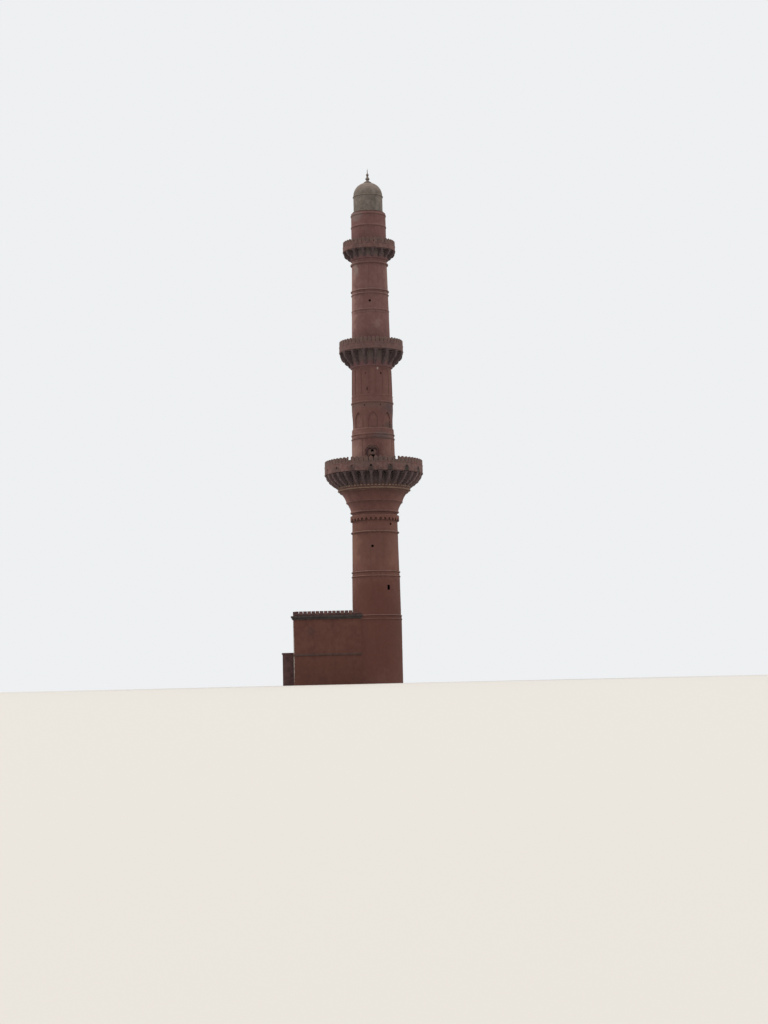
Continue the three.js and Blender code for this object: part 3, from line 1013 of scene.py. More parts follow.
# Storey 1: brick red, darker and warmer at the foot, with painted light paling its left side and high up its
# right side.
LOWER_RED = Limewash(
    "red_limewash",
    Slot.RED_PLASTER,
    ("#69463e", "#5e3d35", "#704f47", "#846559"),
    ledges=(7.7, 8.12, 12.9, 13.45, 18.24, 19.75),
    stains_and_light=(
        StainAndLightPatch(0.0, 0.0, 4.0, 22.0, 20.0, "#56322b", 0.65),
        StainAndLightPatch(66.0, 3.0, 8.4, 3.4, 13.0, "#4b2f28", 0.5, 0.4),
        # Painted light, high up the right side.
        StainAndLightPatch(56.0, 2.8, 16.0, 2.4, 7.0, "#7d594b", 0.4, 0.3),
        StainAndLightPatch(0.0, 0.0, 17.6, 22.0, 6.0, "#5c4038", 0.4),
        # Painted light down the left side.
        StainAndLightPatch(-60.0, 2.9, 16.5, 2.4, 5.0, "#85604f", 0.35),
    ),
)
# The throat's coves, paler to the left and right with painted light on the sides that the suns reach.
THROAT_RED = Limewash(
    "throat_limewash",
    Slot.BRACKET_STONE,
    ("#66433d", "#593a35", "#704c45", "#856960"),
    ledges=(20.9, 22.1, 23.3),
    stains_and_light=(
        # Painted light on the left and right sides.
        StainAndLightPatch(-70.0, 3.7, 21.8, 3.8, 5.6, "#88645d", 0.55, 0.4),
        StainAndLightPatch(72.0, 3.7, 21.8, 3.2, 5.6, "#805c54", 0.5, 0.4),
    ),
)
# Storey 2: a faded red with grey blots by its waist, a pale chip near its head, a painted shadow under the
# ring over its waist, and painted light on its left and right sides at the foot.
UPPER_RED = Limewash(
    "faded_red_limewash",
    Slot.RED_PLASTER,
    ("#684842", "#5d3d38", "#72514b", "#85695f"),
    streaks=0.18,
    dust_and_facing_shade=0.12,
    ledges=(29.97, 34.17, 38.5),
    stains_and_light=(
        # Painted shadow under the ring at 34.2 m.
        StainAndLightPatch(0.0, 0.0, 33.9, 14.0, 1.1, "#5c4c46", 0.4),
        StainAndLightPatch(0.0, 2.45, 28.1, 1.2, 1.5, "#6b5d58", 0.55),
        StainAndLightPatch(62.0, 2.5, 33.5, 3.0, 1.7, "#45383a", 0.7, 0.2),
        StainAndLightPatch(62.0, 2.5, 31.4, 2.8, 1.1, "#4a3c36", 0.7, 0.2),
        StainAndLightPatch(86.0, 2.5, 32.4, 1.8, 4.6, "#52464a", 0.45, 0.3),
        StainAndLightPatch(36.0, 2.6, 30.1, 3.8, 0.9, "#5a4f4e", 0.6, 0.2),
        StainAndLightPatch(21.0, 2.42, 38.35, 0.3, 0.35, "#b6a89c", 0.6),
        # Painted light on the left and right sides.
        StainAndLightPatch(-68.0, 2.6, 27.8, 4.4, 6.2, "#94746a", 0.75, 0.45),
        StainAndLightPatch(66.0, 2.6, 27.8, 3.2, 4.6, "#86665c", 0.65, 0.4),
    ),
)
# Storeys 3 and 4: an old pinkish red, worn most, with painted light paling its left side and, less, its
# right side.
TOP_RED = Limewash(
    "old_red_limewash",
    Slot.RED_PLASTER,
    ("#6c4c49", "#62433f", "#765852", "#8b766e"),
    wear=0.45,
    ledges=(45.65, 47.65, 48.1, 51.5, 56.25, 57.72),
    stains_and_light=(
        StainAndLightPatch(24.0, 2.3, 44.0, 1.3, 1.4, "#846960", 0.45),
        StainAndLightPatch(-50.0, 2.2, 50.9, 1.3, 2.4, "#887c75", 0.5),
        StainAndLightPatch(-52.0, 2.1, 57.7, 3.4, 1.7, "#766763", 0.6),
        # Painted light down the left and right sides.
        StainAndLightPatch(-72.0, 2.3, 46.5, 2.2, 15.0, "#8f6e68", 0.6),
        StainAndLightPatch(78.0, 2.2, 50.0, 1.7, 6.0, "#83675f", 0.5),
    ),
)
# The hall's walls: the deepest red, damp at the foot, with a painted highlight down the far corner, where
# the sunlit end face shows.
HALL_RED = Limewash(
    "deep_red_limewash",
    Slot.HALL_PLASTER,
    ("#5f3d33", "#54342e", "#68453b", "#755748"),
    mottle=0.6,
    patch_mm=1700.0,
    ledges=(3.55, 7.9),
    stains_and_light=(
        StainAndLightPatch(0.0, 0.0, 1.6, 32.0, 3.8, "#54352c", 0.4, 0.1),
        StainAndLightPatch(-72.5, 8.2, 6.4, 1.4, 1.3, "#4d3734", 0.4),
        # Painted highlight: the sunlit end face, seen edge on at the far corner.
        StainAndLightPatch(-76.5, 10.28, 4.2, 0.24, 9.0, "#b5aca2", 0.8),
    ),
)
# The hall's merlons, in a purple red and a paler one by turns, as if washed in two colours.
HALL_EDGE = Limewash(
    "purple_red_limewash",
    Slot.HALL_PLASTER,
    ("#523d3b", "#44302f", "#604644", "#735956"),
    mottle=0.8,
    patch_mm=900.0,
)
HALL_PINK = Limewash(
    "pale_purple_limewash",
    Slot.HALL_PLASTER,
    ("#614640", "#533b37", "#6b504a", "#7c605a"),
    patch_mm=900.0,
)
# The string course round the hall, darker than its walls with its own shadow painted in, and with rain and
# soot on it.
HALL_STRING = Limewash(
    "dark_string_course",
    Slot.HALL_PLASTER,
    ("#4f3a35", "#44312d", "#5a443e", "#6b554c"),
    patch_mm=900.0,
)
# The roof's eaves, nearly black with painted shade, and with soot and old rain.
EAVES = Limewash(
    "shaded_sooty_eaves",
    Slot.BRACKET_STONE,
    ("#3d3634", "#322c2a", "#4a4240", "#61574f"),
    mottle=0.7,
    patch_mm=700.0,
    dust_and_facing_shade=0.2,
)
# The wall between the great brackets, grey with painted deep shade, and paler to the left and right with
# painted side light.
PAINTED_SIDE_LIGHT = tuple(StainAndLightPatch(side * 82.0, 5.2, 24.8, 6.0, 4.6, "#7d6664", 0.5, 0.4) for side in (-1, 1))
BAYS = Limewash(
    "shaded_bay_plaster",
    Slot.BRACKET_STONE,
    ("#665958", "#594c4b", "#6f605e", "#7a6a66"),
    mottle=0.7,
    patch_mm=900.0,
    dust_and_facing_shade=0.1,
    stains_and_light=(StainAndLightPatch(0.0, 0.0, 23.8, 22.0, 1.3, "#57403b", 0.85), *PAINTED_SIDE_LIGHT),
)
# The galleries' floors, in the bays' grey, paler on top where dust lies and darker underneath with painted
# shade.
GALLERY_FLOOR = Limewash(
    "gallery_floor_plaster",
    Slot.BRACKET_STONE,
    BAYS.coats,
    soot_and_shade="#685b5b",
    mottle=0.9,
    dust_and_top_light="#6f655d",
    streaks=0.0,
    dust_and_facing_shade=0.5,
)
# Cut stone brackets in a dark grey red, with their wash worn off the edges, painted shade far in between
# them and painted light on the left and right sides.
GREAT_BRACKETS = BracketStone(
    "great_bracket_stone",
    Slot.BRACKET_STONE,
    ("#4e4040", "#433636", "#594949", "#685956"),
    soot_and_shade="#685b5b",
    wear=0.6,
    mottle=0.6,
    patch_mm=900.0,
    dust_and_facing_shade=0.1,
    stains_and_light=PAINTED_SIDE_LIGHT,
)
# The rings and brackets under the two upper galleries, each with its own reach of painted shade.
MIDDLE_REACH = {"inner": 2.64, "outer": 3.85, "low": 38.8, "high": 40.6}
SMALL_REACH = {"inner": 2.4, "outer": 3.15, "low": 52.2, "high": 53.25}
MIDDLE_BRACKETS = replace(
    GREAT_BRACKETS, name="middle_bracket_stone", stains_and_light=(), depth=0.5, **MIDDLE_REACH
)
SMALL_BRACKETS = replace(
    GREAT_BRACKETS, name="small_bracket_stone", stains_and_light=(), depth=0.4, **SMALL_REACH
)
# The plastered rings behind them: red in the light, and darkest far in between the brackets, where shade is
# painted in.
SMALL_BAYS = BracketStone(
    "small_bay_plaster",
    Slot.BRACKET_STONE,
    ("#67494a", "#5b403f", "#715452", "#7f6a64"),
    soot_and_shade="#635652",
    depth=1.0,
    dust_and_facing_shade=0.1,
    **SMALL_REACH,
)
MIDDLE_BAYS = replace(SMALL_BAYS, name="middle_bay_plaster", **{**MIDDLE_REACH, "low": 38.9})
# The gallery walls: red gone grey, mottled, with lichen along their tops.
LICHEN = "#554b43"
WEATHERED = {
    "slot": Slot.PARAPET,
    "coats": ("#694842", "#54413f", "#735854", "#7e706b"),
    "soot_and_shade": "#2c2625",
    "wear": 0.6,
    "mottle": 0.85,
    "patch_mm": 800.0,
    "blotch_mm": 380.0,
    "streaks": 0.25,
    "dust_and_facing_shade": 0.15,
}
GREAT_PARAPET = WeatheredParapet(
    "great_parapet_plaster",
    stains_and_light=(
        StainAndLightPatch(0.0, 0.0, 27.05, 60.0, 1.2, LICHEN, 0.3),
        StainAndLightPatch(-8.0, 6.0, 26.4, 3.0, 1.2, "#5c4f49", 0.4),
        StainAndLightPatch(40.0, 6.0, 26.5, 3.0, 1.2, "#5c4f49", 0.35),
    ),
    **WEATHERED,
)
PARAPET = Limewash(
    "parapet_plaster",
    stains_and_light=(
        StainAndLightPatch(0.0, 0.0, 40.8, 40.0, 2.4, "#5b4644", 0.35),
        StainAndLightPatch(0.0, 0.0, 41.9, 40.0, 1.0, LICHEN, 0.35),
        StainAndLightPatch(0.0, 0.0, 54.35, 40.0, 0.9, LICHEN, 0.35),
    ),
    **WEATHERED,
)
# The dome's bare lime plaster, weathered grey.
DOME_GREY = Limewash(
    "grey_dome_plaster",
    Slot.DOME,
    ("#6e635b", "#544e48", "#7c736b", "#918e83"),
    soot_and_shade="#2c2725",
    wear=0.6,
    mottle=0.8,
)
# The strings under the first gallery, picked out in a cream that stands out from the red.
CREAM = Limewash(
    "cream_limewash",
    Slot.BRACKET_STONE,
    ("#836c5a", "#6f584a", "#907b68", "#9f8d7b"),
    mottle=0.7,
    patch_mm=500.0,
)
# Grey flagstones in courses, dull with dust.
FLAGS = Flagstone("worn_flagstone", Slot.FLOOR)


def settle(piece: Piece, finish: Finish, nodes: Sequence[str] = ()) -> None:
    """Gives a finished piece its material and its place in the frame.

    Args:
        piece: The piece.
        finish: Its finish.
        nodes: The CAD nodes that it stands for.
    """
    activate(piece)
    bpy.ops.object.shade_smooth_by_angle(angle=math.radians(SMOOTH_ANGLE))
    piece.data.materials.clear()
    piece.data.materials.append(finish.material())
    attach(piece, "root")
    if nodes:
        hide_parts(*nodes)
    log.info("%s: %d faces, stands for %d nodes", piece.name, len(piece.data.polygons), len(nodes))


# Sub-assemblies


@dataclass(frozen=True)
class RoundWall:
    """A storey's round wall with its bore, mouldings, doorways, windows and recesses."""

    name: str
    nodes: tuple[str, ...]
    stations: tuple[Point, ...]
    rolls: tuple[Roll, ...]
    bore: float
    arches: tuple[Arch, ...] = ()
    windows: tuple[Window, ...] = ()
    swell_mm: float = 14.0

    def radius_at(self, height: float) -> float:
        """Works out the wall's radius between its stations of (height, radius).

        Args:
            height: The height above the ground.

        Returns:
            The radius there.
        """
        pairs = zip(self.stations, self.stations[1:])
        (z0, r0), (z1, r1) = next(pair for pair in pairs if pair[1][0] >= height)
        return r0 + (r1 - r0) * (height - z0) / (z1 - z0)

    def face(self) -> list[Point]:
        """Draws the outer face from the bottom up, with a row of points at least every ROW_HEIGHT."""
        points = [(radius, height) for height, radius in self.stations]
        for roll in self.rolls:
            points += roll.points(self.radius_at(roll.low), self.radius_at(roll.high))
        points.sort(key=lambda point: point[1])
        rows = [points[0]]
        for (r0, z0), (r1, z1) in zip(points, points[1:]):
            steps = max(1, math.ceil((z1 - z0) / ROW_HEIGHT))
            for step in range(1, steps + 1):
                rows.append((r0 + (r1 - r0) * step / steps, z0 + (z1 - z0) * step / steps))
        return rows

    def mesh(self) -> Piece:
        """Builds the wall and cuts its openings."""
        wall = hand_laid(ring(self.name, self.face(), self.bore), self.swell_mm)
        return cut(wall, [opening.cutter() for opening in (*self.arches, *self.windows)])


@dataclass(frozen=True)
class LowerShaft:
    """Storey 1, with a band of small leaf niches at its head and a blind hole under it."""

    wall: RoundWall
    leaf: Arch = Arch(0.17, 19.76, 19.84, 20.08, bearing=5.6, back=2.78)
    leaves: int = 32
    small_hole: Window = Window(2.0, 19.27, 0.2, 0.26, back=1.2)

    def build(self) -> None:
        """Builds the wall and cuts its niches and the hole."""
        wall = self.wall.mesh()
        leaves = around(self.leaf.cutter(), self.leaves)
        cut(grounded(wall), [leaves, self.small_hole.cutter()])
        settle(wall, LOWER_RED, self.wall.nodes)


@dataclass(frozen=True)
class BracketRing:
    """Stepped brackets all round a wall: each a web of rounded tiers under a wider head."""

    name: str
    count: int
    first: float
    tiers: tuple[Point, ...]
    root: float
    top: float
    width: float
    head_width: float
    head_height: float = 0.2
    head_edge: float = 0.05
    head_in: float = 0.06
    head_out: float = 0.04
    worn: float = 0.03

    def mesh(self) -> Piece:
        """Builds one bracket and repeats it round the axis."""
        outline = []
        for start, end in zip(self.tiers, self.tiers[1:]):
            outline += quarter_round(start, end, 4)
        nose = self.tiers[-1][0]
        web = [*outline, (nose, self.top), (self.root, self.top), (self.root, self.tiers[0][1])]
        low, front = self.top - self.head_height, nose + self.head_out
        head = [
            (self.root, low),
            (nose - self.head_in, low),
            (front, low + self.head_edge),
            (front, self.top),
            (self.root, self.top),
        ]
        bracket = joined([self.slab(web, self.width), self.slab(head, self.head_width)])
        bracket.name = self.name
        return around(bracket, self.count)

    def slab(self, outline: Sequence[Point], width: float) -> Piece:
        """Makes a worn, flat-sided part of the bracket from its side outline of (radius, height)."""
        return rounded(side_on(f"{self.name}_slab", outline, self.first, width), self.worn)


@dataclass(frozen=True)
class Throat:
    """The throat over storey 1: coves between rings, a cream string of dentils, and 32 brackets."""

    bore: float = 1.95
    bottom: float = 20.64
    top: float = 25.45
    foot: float = 2.745
    ring: Roll = Roll(20.72, 20.96, 2.98)
    lower_cove: tuple[Point, ...] = ((2.9, 21.1), (3.0, 21.4), (3.2, 21.8))
    collar: Roll = Roll(22.0, 22.18, 3.46)
    upper_cove: tuple[Point, ...] = ((3.5, 22.4), (3.66, 22.75), (3.9, 23.1))
    ledge: Roll = Roll(23.22, 23.4, 4.2)
    face: float = 4.4
    face_rows: tuple[float, ...] = (23.7, 24.2, 24.8, 25.45)
    face_thick: float = 0.1
    seat: float = 4.36
    string: Roll = Roll(23.46, 23.6, 4.46)
    string_edge: float = 0.02
    string_root: float = 4.3
    dentils: int = 64
    dentil_half: float = 0.13
    dentil_low: float = 23.78
    dentil_high: float = 23.92
    dentil_out: float = 4.49
    dentil_deep: float = 0.16
    dentil_worn: float = 0.02
    brackets: BracketRing = BracketRing(
        "great_brackets",
        32,
        0.0,
        ((4.38, 23.86), (4.76, 24.1), (5.16, 24.4), (5.56, 24.8), (5.86, 25.32)),
        root=4.2,
        top=25.45,
        width=0.3,
        head_width=0.5,
    )

    def outline(self) -> list[Point]:
        """Draws the throat's face: ring, cove, ring, cove, ledge and the wall behind the brackets."""
        return [
            (self.foot, self.bottom),
            *self.ring.points(2.8, 2.88),
            *self.lower_cove,
            *self.collar.points(3.36, 3.42),
            *self.upper_cove,
            *self.ledge.points(4.04, 4.1),
            (4.2, 23.41),
            *quarter_round((4.22, 23.42), (self.seat, 23.52)),
            (self.seat, self.top),
        ]

    def build(self) -> None:
        """Builds the coves, the wall behind the brackets, the cream strings and the brackets."""
        coves = ring("throat_coves", self.outline(), self.bore)
        settle(hand_laid(coves, swell_mm=10.0, size_mm=700.0), THROAT_RED, ("throat",))
        rows = [(self.face, height) for height in self.face_rows]
        settle(ring("wall_behind_brackets", rows, self.face - self.face_thick), BAYS)
        low, high = self.string.low - self.string_edge, self.string.high + self.string_edge
        bead = [(self.string_root, low), *self.string.points(self.seat, self.seat), (self.string_root, high)]
        settle(turned("cream_string", bead), CREAM)
        outline = box_outline(self.dentil_half, self.dentil_low, self.dentil_high)
        dentil = face_on("dentils", outline, self.dentil_out, self.dentil_out - self.dentil_deep)
        settle(around(rounded(dentil, self.dentil_worn), self.dentils), CREAM)
        settle(self.brackets.mesh(), GREAT_BRACKETS)


@dataclass(frozen=True)
class Gallery:
    """A gallery's wall: a base moulding, a plain face, a coping line and a ring of leaf merlons."""

    name: str
    nodes: tuple[str, ...]
    finish: Limewash
    underside: float
    wall_top: float
    top: float
    outer: float
    thick: float
    merlons: int
    share: float = 0.9
    shoulder: float = 0.42
    breaks: tuple[float, ...] = ()
    break_half: float = 0.22
    break_low: float = 0.2
    set_back: float = 0.05
    base_low: float = 0.02
    base_high: float = 0.16
    base_in: float = 0.01
    line_low: float = 0.13
    line_high: float = 0.05
    line_in: float = 0.02
    merlon_in: float = 0.02
    merlon_root: float = 0.04
    worn: float = 0.03
    drains: int = 0
    drain: Arch = Arch(0.11, 25.88, 26.0, 26.14)

    def build(self) -> None:
        """Builds the wall and its merlons."""
        face, back = self.outer - self.set_back, self.outer - self.thick
        foot, head = self.underside, self.wall_top
        base = Roll(foot + self.base_low, foot + self.base_high, self.outer - self.base_in)
        line = Roll(head - self.line_low, head - self.line_high, self.outer - self.line_in)
        outline = [
            (face, foot),
            *base.points(face, face),
            (face, (foot + head) / 2),
            *line.points(face, face),
            (face, head),
        ]
        wall = ring(f"{self.name}_wall", outline, back, 2 * self.merlons)
        hand_laid(wall, swell_mm=12.0, size_mm=500.0)
        if self.drains:
            cut(wall, [around(self.drain.cutter(), self.drains)])
        merlons = self.leaves(f"{self.name}_merlons", back + self.merlon_in, face - self.merlon_in)
        if self.breaks:
            cut(merlons, [self.break_cutter(bearing) for bearing in self.breaks])
        settle(joined([wall, merlons]), self.finish, self.nodes)

    def break_cutter(self, bearing: float) -> Piece:
        """Makes the solid that cuts a gap at a bearing, where the edges of two merlons have broken away."""
        low, high, back = self.wall_top + self.break_low, self.top + 0.1, self.outer - 2 * self.thick
        return Arch(self.break_half, low, high, high + 0.1, bearing=bearing, back=back).cutter()

    def leaves(self, name: str, back: float, face: float) -> Piece:
        """Makes the merlons, each a leaf with a rounded point.

        Args:
            name: The new piece's name.
            back: The radius of their backs.
            face: The radius of their faces.

        Returns:
            The new piece.
        """
        half = math.pi * self.outer / self.merlons * self.share
        spring = self.wall_top + (self.top - self.wall_top) * self.shoulder
        leaf = Arch(half, self.wall_top - self.merlon_root, spring, self.top, steps=4)
        return around(rounded(face_on(name, leaf.outline(), face, back), self.worn, 1), self.merlons)


@dataclass(frozen=True)
class MiddleShaft:
    """Storey 2: an arched recess with a doorway, a waist of blind arches and a panelled taper."""

    wall: RoundWall
    door: Arch
    recess: Arch = Arch(0.8, 24.85, 28.1, 28.78, back=2.44)
    blind: Arch = Arch(0.56, 31.15, 31.95, 33.05, bearing=4.0, back=2.36)
    blinds: int = 8
    weep_hole: Arch = Arch(0.08, 33.78, 33.86, 33.96, bearing=-19.4, back=2.4)
    weep_holes: int = 8
    groove: Arch = Arch(0.035, 26.6, 29.6, 29.75, bearing=-27.0, back=2.58, steps=2)
    grooves: int = 4
    taper_holes: tuple[Arch, ...] = (
        Arch(0.1, 37.66, 37.8, 37.92, bearing=30.8, back=2.1),
        Arch(0.07, 37.7, 37.8, 37.9, bearing=-15.3, back=2.3),
    )
    strips: int = 16
    strip_width: float = 0.13
    strip_proud: float = 0.05
    strip_root: float = 2.35
    first_strip: float = -8.0
    strip_low: float = 35.35
    strip_high: float = 38.3
    strip_worn: float = 0.02

    def build(self) -> None:
        """Builds the wall and the mouldings on it."""
        wall = self.wall.mesh()
        cut(wall, [around(self.blind.cutter(), self.blinds), self.recess.cutter()])
        cut(wall, [around(self.weep_hole.cutter(), self.weep_holes)])
        cut(wall, [around(self.groove.cutter(), self.grooves)])
        cut(wall, [hole.cutter() for hole in self.taper_holes])
        settle(wall, UPPER_RED, self.wall.nodes)
        frames = [
            around(self.blind.frame("blind_arch_frames", radius=2.47, thick=0.08, grow=0.08), self.blinds),
            self.recess.frame("recess_frame", radius=2.63, thick=0.1, grow=0.12),
            self.door_frame(),
            self.panel_strips(),
        ]
        settle(joined(frames), UPPER_RED)
        trim = self.recess.frame("recess_trim", radius=2.52, thick=0.26, grow=-0.13)
        settle(trim, HALL_EDGE)

    def door_frame(self) -> Piece:
        """Makes the flat surround of the doorway, at the back of the recess."""
        out, line = self.recess.back + 0.01, self.door.outline(grow=0.07)
        return tube("door_frame", [spot(0.0, out, height, x) for x, height in line], thick=0.08)

    def panel_strips(self) -> Piece:
        """Makes the thin upright strips that part the panels of the taper."""
        low, high = self.strip_low, self.strip_high
        faces = [(self.wall.radius_at(height) + self.strip_proud, height) for height in (low, high)]
        outline = [(self.strip_root, low), *faces, (self.strip_root, high)]
        strip = side_on("panel_strips", outline, self.first_strip, self.strip_width)
        return around(rounded(strip, self.strip_worn, 1), self.strips)


@dataclass(frozen=True)
class Corbels:
    """The spreading ring under an upper gallery, with its brackets."""

    name: str
    node: str
    face: tuple[Point, ...]
    bore: float
    plaster: Limewash
    stone: Limewash
    brackets: BracketRing

    def build(self) -> None:
        """Builds the ring and its brackets."""
        settle(ring(self.name, self.face, self.bore), self.plaster, (self.node,))
        settle(self.brackets.mesh(), self.stone)


@dataclass(frozen=True)
class Dome:
    """The dome on its short drum, and the finial of three balls and a spike over a ring of petals."""

    bottom: float = 58.1
    spring: float = 60.4
    crown: float = 62.1
    radius: float = 1.8
    foot: Roll = Roll(58.14, 58.34, 1.98)
    foot_radius: float = 1.86
    drum_rows: tuple[float, ...] = (59.0, 59.7)
    head: Roll = Roll(60.2, 60.36, 1.88)
    shell: float = 0.3
    swell: float = 0.9
    tip: float = 64.0
    sunk: float = 0.05
    finial_foot: float = 0.32
    stem: float = 0.07
    balls: tuple[Point, ...] = ((0.36, 0.06), (0.27, 0.52), (0.18, 1.04))
    ball_squash: float = 0.62
    spike: tuple[Point, Point] = ((0.05, 1.28), (0.035, 0.25))
    petals: int = 12
    petal_out: float = 0.5
    petal_thick: float = 0.2
    petal_worn: float = 0.02
    sides: int = 96

    def curve(self, radius: float, crown: float, steps: int) -> list[Point]:
        """Draws half of the pointed shell from its spring to just below its crown.

        Args:
            radius: Its radius at the spring.
            crown: The height of its crown.
            steps: How many straight steps it has.

        Returns:
            Its points of (radius, height).
        """
        turns = [math.pi / 2 * step / steps for step in range(steps)]
        rise = crown - self.spring
        return [(radius * math.cos(t) ** self.swell, self.spring + rise * math.sin(t)) for t in turns]

    def build(self) -> None:
        """Builds the drum and dome, then the finial."""
        inside, ceiling = self.radius - self.shell, self.crown - self.shell
        outline = [
            (inside, self.bottom),
            (self.foot_radius, self.bottom),
            *self.foot.points(self.foot_radius, self.radius),
            *[(self.radius, height) for height in self.drum_rows],
            *self.head.points(self.radius, self.radius),
            *self.curve(self.radius, self.crown, 16),
            (0.0, self.crown),
            (0.0, ceiling),
            *reversed(self.curve(inside, ceiling, 10)),
        ]
        dome = turned("dome_shell", outline[::-1], self.sides)
        settle(hand_laid(dome, swell_mm=12.0, size_mm=700.0), DOME_GREY, ("dome",))
        self.finial()

    def finial(self) -> None:
        """Builds the finial."""
        seat, stem = self.crown, self.stem
        outline = [(0.0, seat - self.sunk), (self.finial_foot, seat - self.sunk)]
        turns = [math.pi * (step / 8 - 0.5) for step in range(1, 8)]
        for radius, rise in self.balls:
            middle, half = seat + rise, radius * self.ball_squash
            outline += [(stem + (radius - stem) * math.cos(t), middle + half * math.sin(t)) for t in turns]
        (thick, rise), (thin, drop) = self.spike
        outline += [(thick, seat + rise), (thin, self.tip - drop), (0.0, self.tip)]
        finial = turned("finial_stem", outline, 32)
        leaf = Arch(0.11, seat - 0.28, seat - 0.12, seat + 0.1, steps=3)
        petal = face_on("petals", leaf.outline(), self.petal_out, self.petal_out - self.petal_thick)
        petals = around(rounded(petal, self.petal_worn, 1), self.petals)
        settle(joined([finial, petals]), DOME_GREY, ("finial",))


@dataclass(frozen=True)
class Hall:
    """The entrance hall: walls with a string course, a flat roof with eaves, and a low parapet."""

    worn: float = 0.03
    end: float = -10.0
    near: float = -1.4
    half: float = 2.4
    wall: float = 0.8
    top: float = 7.9
    roof_top: float = 8.35
    parapet_top: float = 8.62
    eave: float = 0.25
    eave_worn: float = 0.05
    slab_rise: float = 0.2
    bed_rise: float = 0.22
    bed_out: float = 0.14
    string_low: float = 3.52
    string_high: float = 3.77
    string_out: float = 0.08
    string_in: float = 0.2
    parapet_thick: float = 0.3
    merlon_pitch: float = 0.5
    merlon_width: float = 0.42
    merlon_rise: float = 0.28
    merlon_root: float = 0.06
    merlon_proud: float = 0.05
    last_merlon: float = -2.6
    tower_low: float = 2.98
    tower_at_roof: float = 3.04
    tower_at_parapet: float = 3.0
    door: Arch = Arch(0.65, -1.0, 1.9, 2.75, bearing=180.0, along=6.5)

    def tower_space(self, radius: float) -> Piece:
        """Makes the solid of the tower that the hall ends against."""
        return turned("tower_space", [(0.0, -1.0), (radius, -1.0), (radius, 10.0), (0.0, 10.0)], 64)

    def long_wall(self, name: str, out: int, cutters: Sequence[Piece] = ()) -> tuple[Piece, Piece]:
        """Makes a long wall, uneven as laid, and its string course, both cut to the tower.

        Args:
            name: The new piece's name.
            out: Which way it faces along Y, -1 or 1.
            cutters: The solids of its doorways, which end below the string course.

        Returns:
            The wall and the course.
        """
        face = out * self.half
        y0, y1 = sorted((face, face - out * self.wall))
        wall = sliced(block(name, (self.end, y0, 0.0), (self.near, y1, self.top)), (0, 2))
        grounded(hand_laid(wall))
        y0, y1 = sorted((face - out * self.string_in, face + out * self.string_out))
        low = (self.end - self.string_out, y0, self.string_low)
        course = block(f"{name}_course", low, (self.near, y1, self.string_high))
        cut(wall, [self.tower_space(self.tower_low), *cutters])
        cut(rounded(course, self.worn), [self.tower_space(self.tower_low)])
        return wall, course

    def build(self) -> None:
        """Builds the walls, the roof and the parapet."""
        front, course = self.long_wall("hall_front", -1)
        settle(front, HALL_RED, ("front_wall",))
        rear, rear_course = self.long_wall("hall_rear", 1, [self.door.cutter()])
        settle(joined([course, rear_course]), HALL_STRING)
        settle(rear, HALL_RED, ("rear_wall_far", "rear_wall_near", "rear_wall_over_door"))
        inside = self.half - self.wall
        end = block("hall_end", (self.end, -inside, 0.0), (self.end + self.wall, inside, self.top))
        settle(grounded(hand_laid(sliced(end, (1, 2)))), HALL_RED, ("end_wall",))
        self.roof()
        self.parapet()

    def roof(self) -> None:
        """Builds the flat roof: a slab with eaves over a bed moulding."""
        parts = []
        layers = (
            ("hall_roof_slab", self.eave, self.top + self.slab_rise, self.roof_top),
            ("hall_roof_bed", self.bed_out, self.top, self.top + self.bed_rise),
        )
        for name, out, low, high in layers:
            side = self.half + out
            parts.append(block(name, (self.end - out, -side, low), (self.near, side, high)))
        for part in parts:
            sliced(rounded(part, self.eave_worn), (0,), 2 * ROW_HEIGHT)
            cut(part, [self.tower_space(self.tower_at_roof)])
        settle(hand_laid(joined(parts), swell_mm=10.0), EAVES, ("hall_roof",))

    def parapet(self) -> None:
        """Builds the low walls on the roof's edge and the merlons on them, in two colours by turns."""
        thick, low, high, proud = self.parapet_thick, self.roof_top, self.parapet_top, self.merlon_proud
        inside = self.half - thick
        runs = (
            ("hall_parapet_front", (self.end, -self.half), (self.near, -inside), 0),
            ("hall_parapet_rear", (self.end, inside), (self.near, self.half), 0),
            ("hall_parapet_end", (self.end, -inside), (self.end + thick, inside), 1),
        )
        for name, (x0, y0), (x1, y1), axis in runs:
            wall = rounded(block(f"{name}_run", (x0, y0, low), (x1, y1, high)), self.worn)
            sliced(wall, (axis,))
            start, stop = (x0, self.last_merlon) if axis == 0 else (y0, y1)
            count = math.floor((stop - start) / self.merlon_pitch)
            first = (start + stop - (count - 1) * self.merlon_pitch) / 2 - self.merlon_width / 2
            root = low + self.merlon_root
            corner = [x0 - proud, y0 - proud, root]
            size = [thick + 2 * proud, thick + 2 * proud, high + self.merlon_rise - root]
            corner[axis], size[axis] = first, self.merlon_width
            merlons = []
            for turn in range(2):
                begin = list(corner)
                begin[axis] += turn * self.merlon_pitch
                merlon = block(f"{name}_merlons_{turn}", begin, [a + b for a, b in zip(begin, size)])
                step = Vector((0.0, 0.0, 0.0))
                step[axis] = 2 * self.merlon_pitch * SCALE
                merlons.append(in_row(rounded(merlon, self.worn), (count + 1 - turn) // 2, step))
            if axis == 0:
                cut(wall, [self.tower_space(self.tower_at_parapet)])
            settle(joined([wall, merlons[0]]), HALL_EDGE, (name,))
            settle(merlons[1], HALL_PINK)


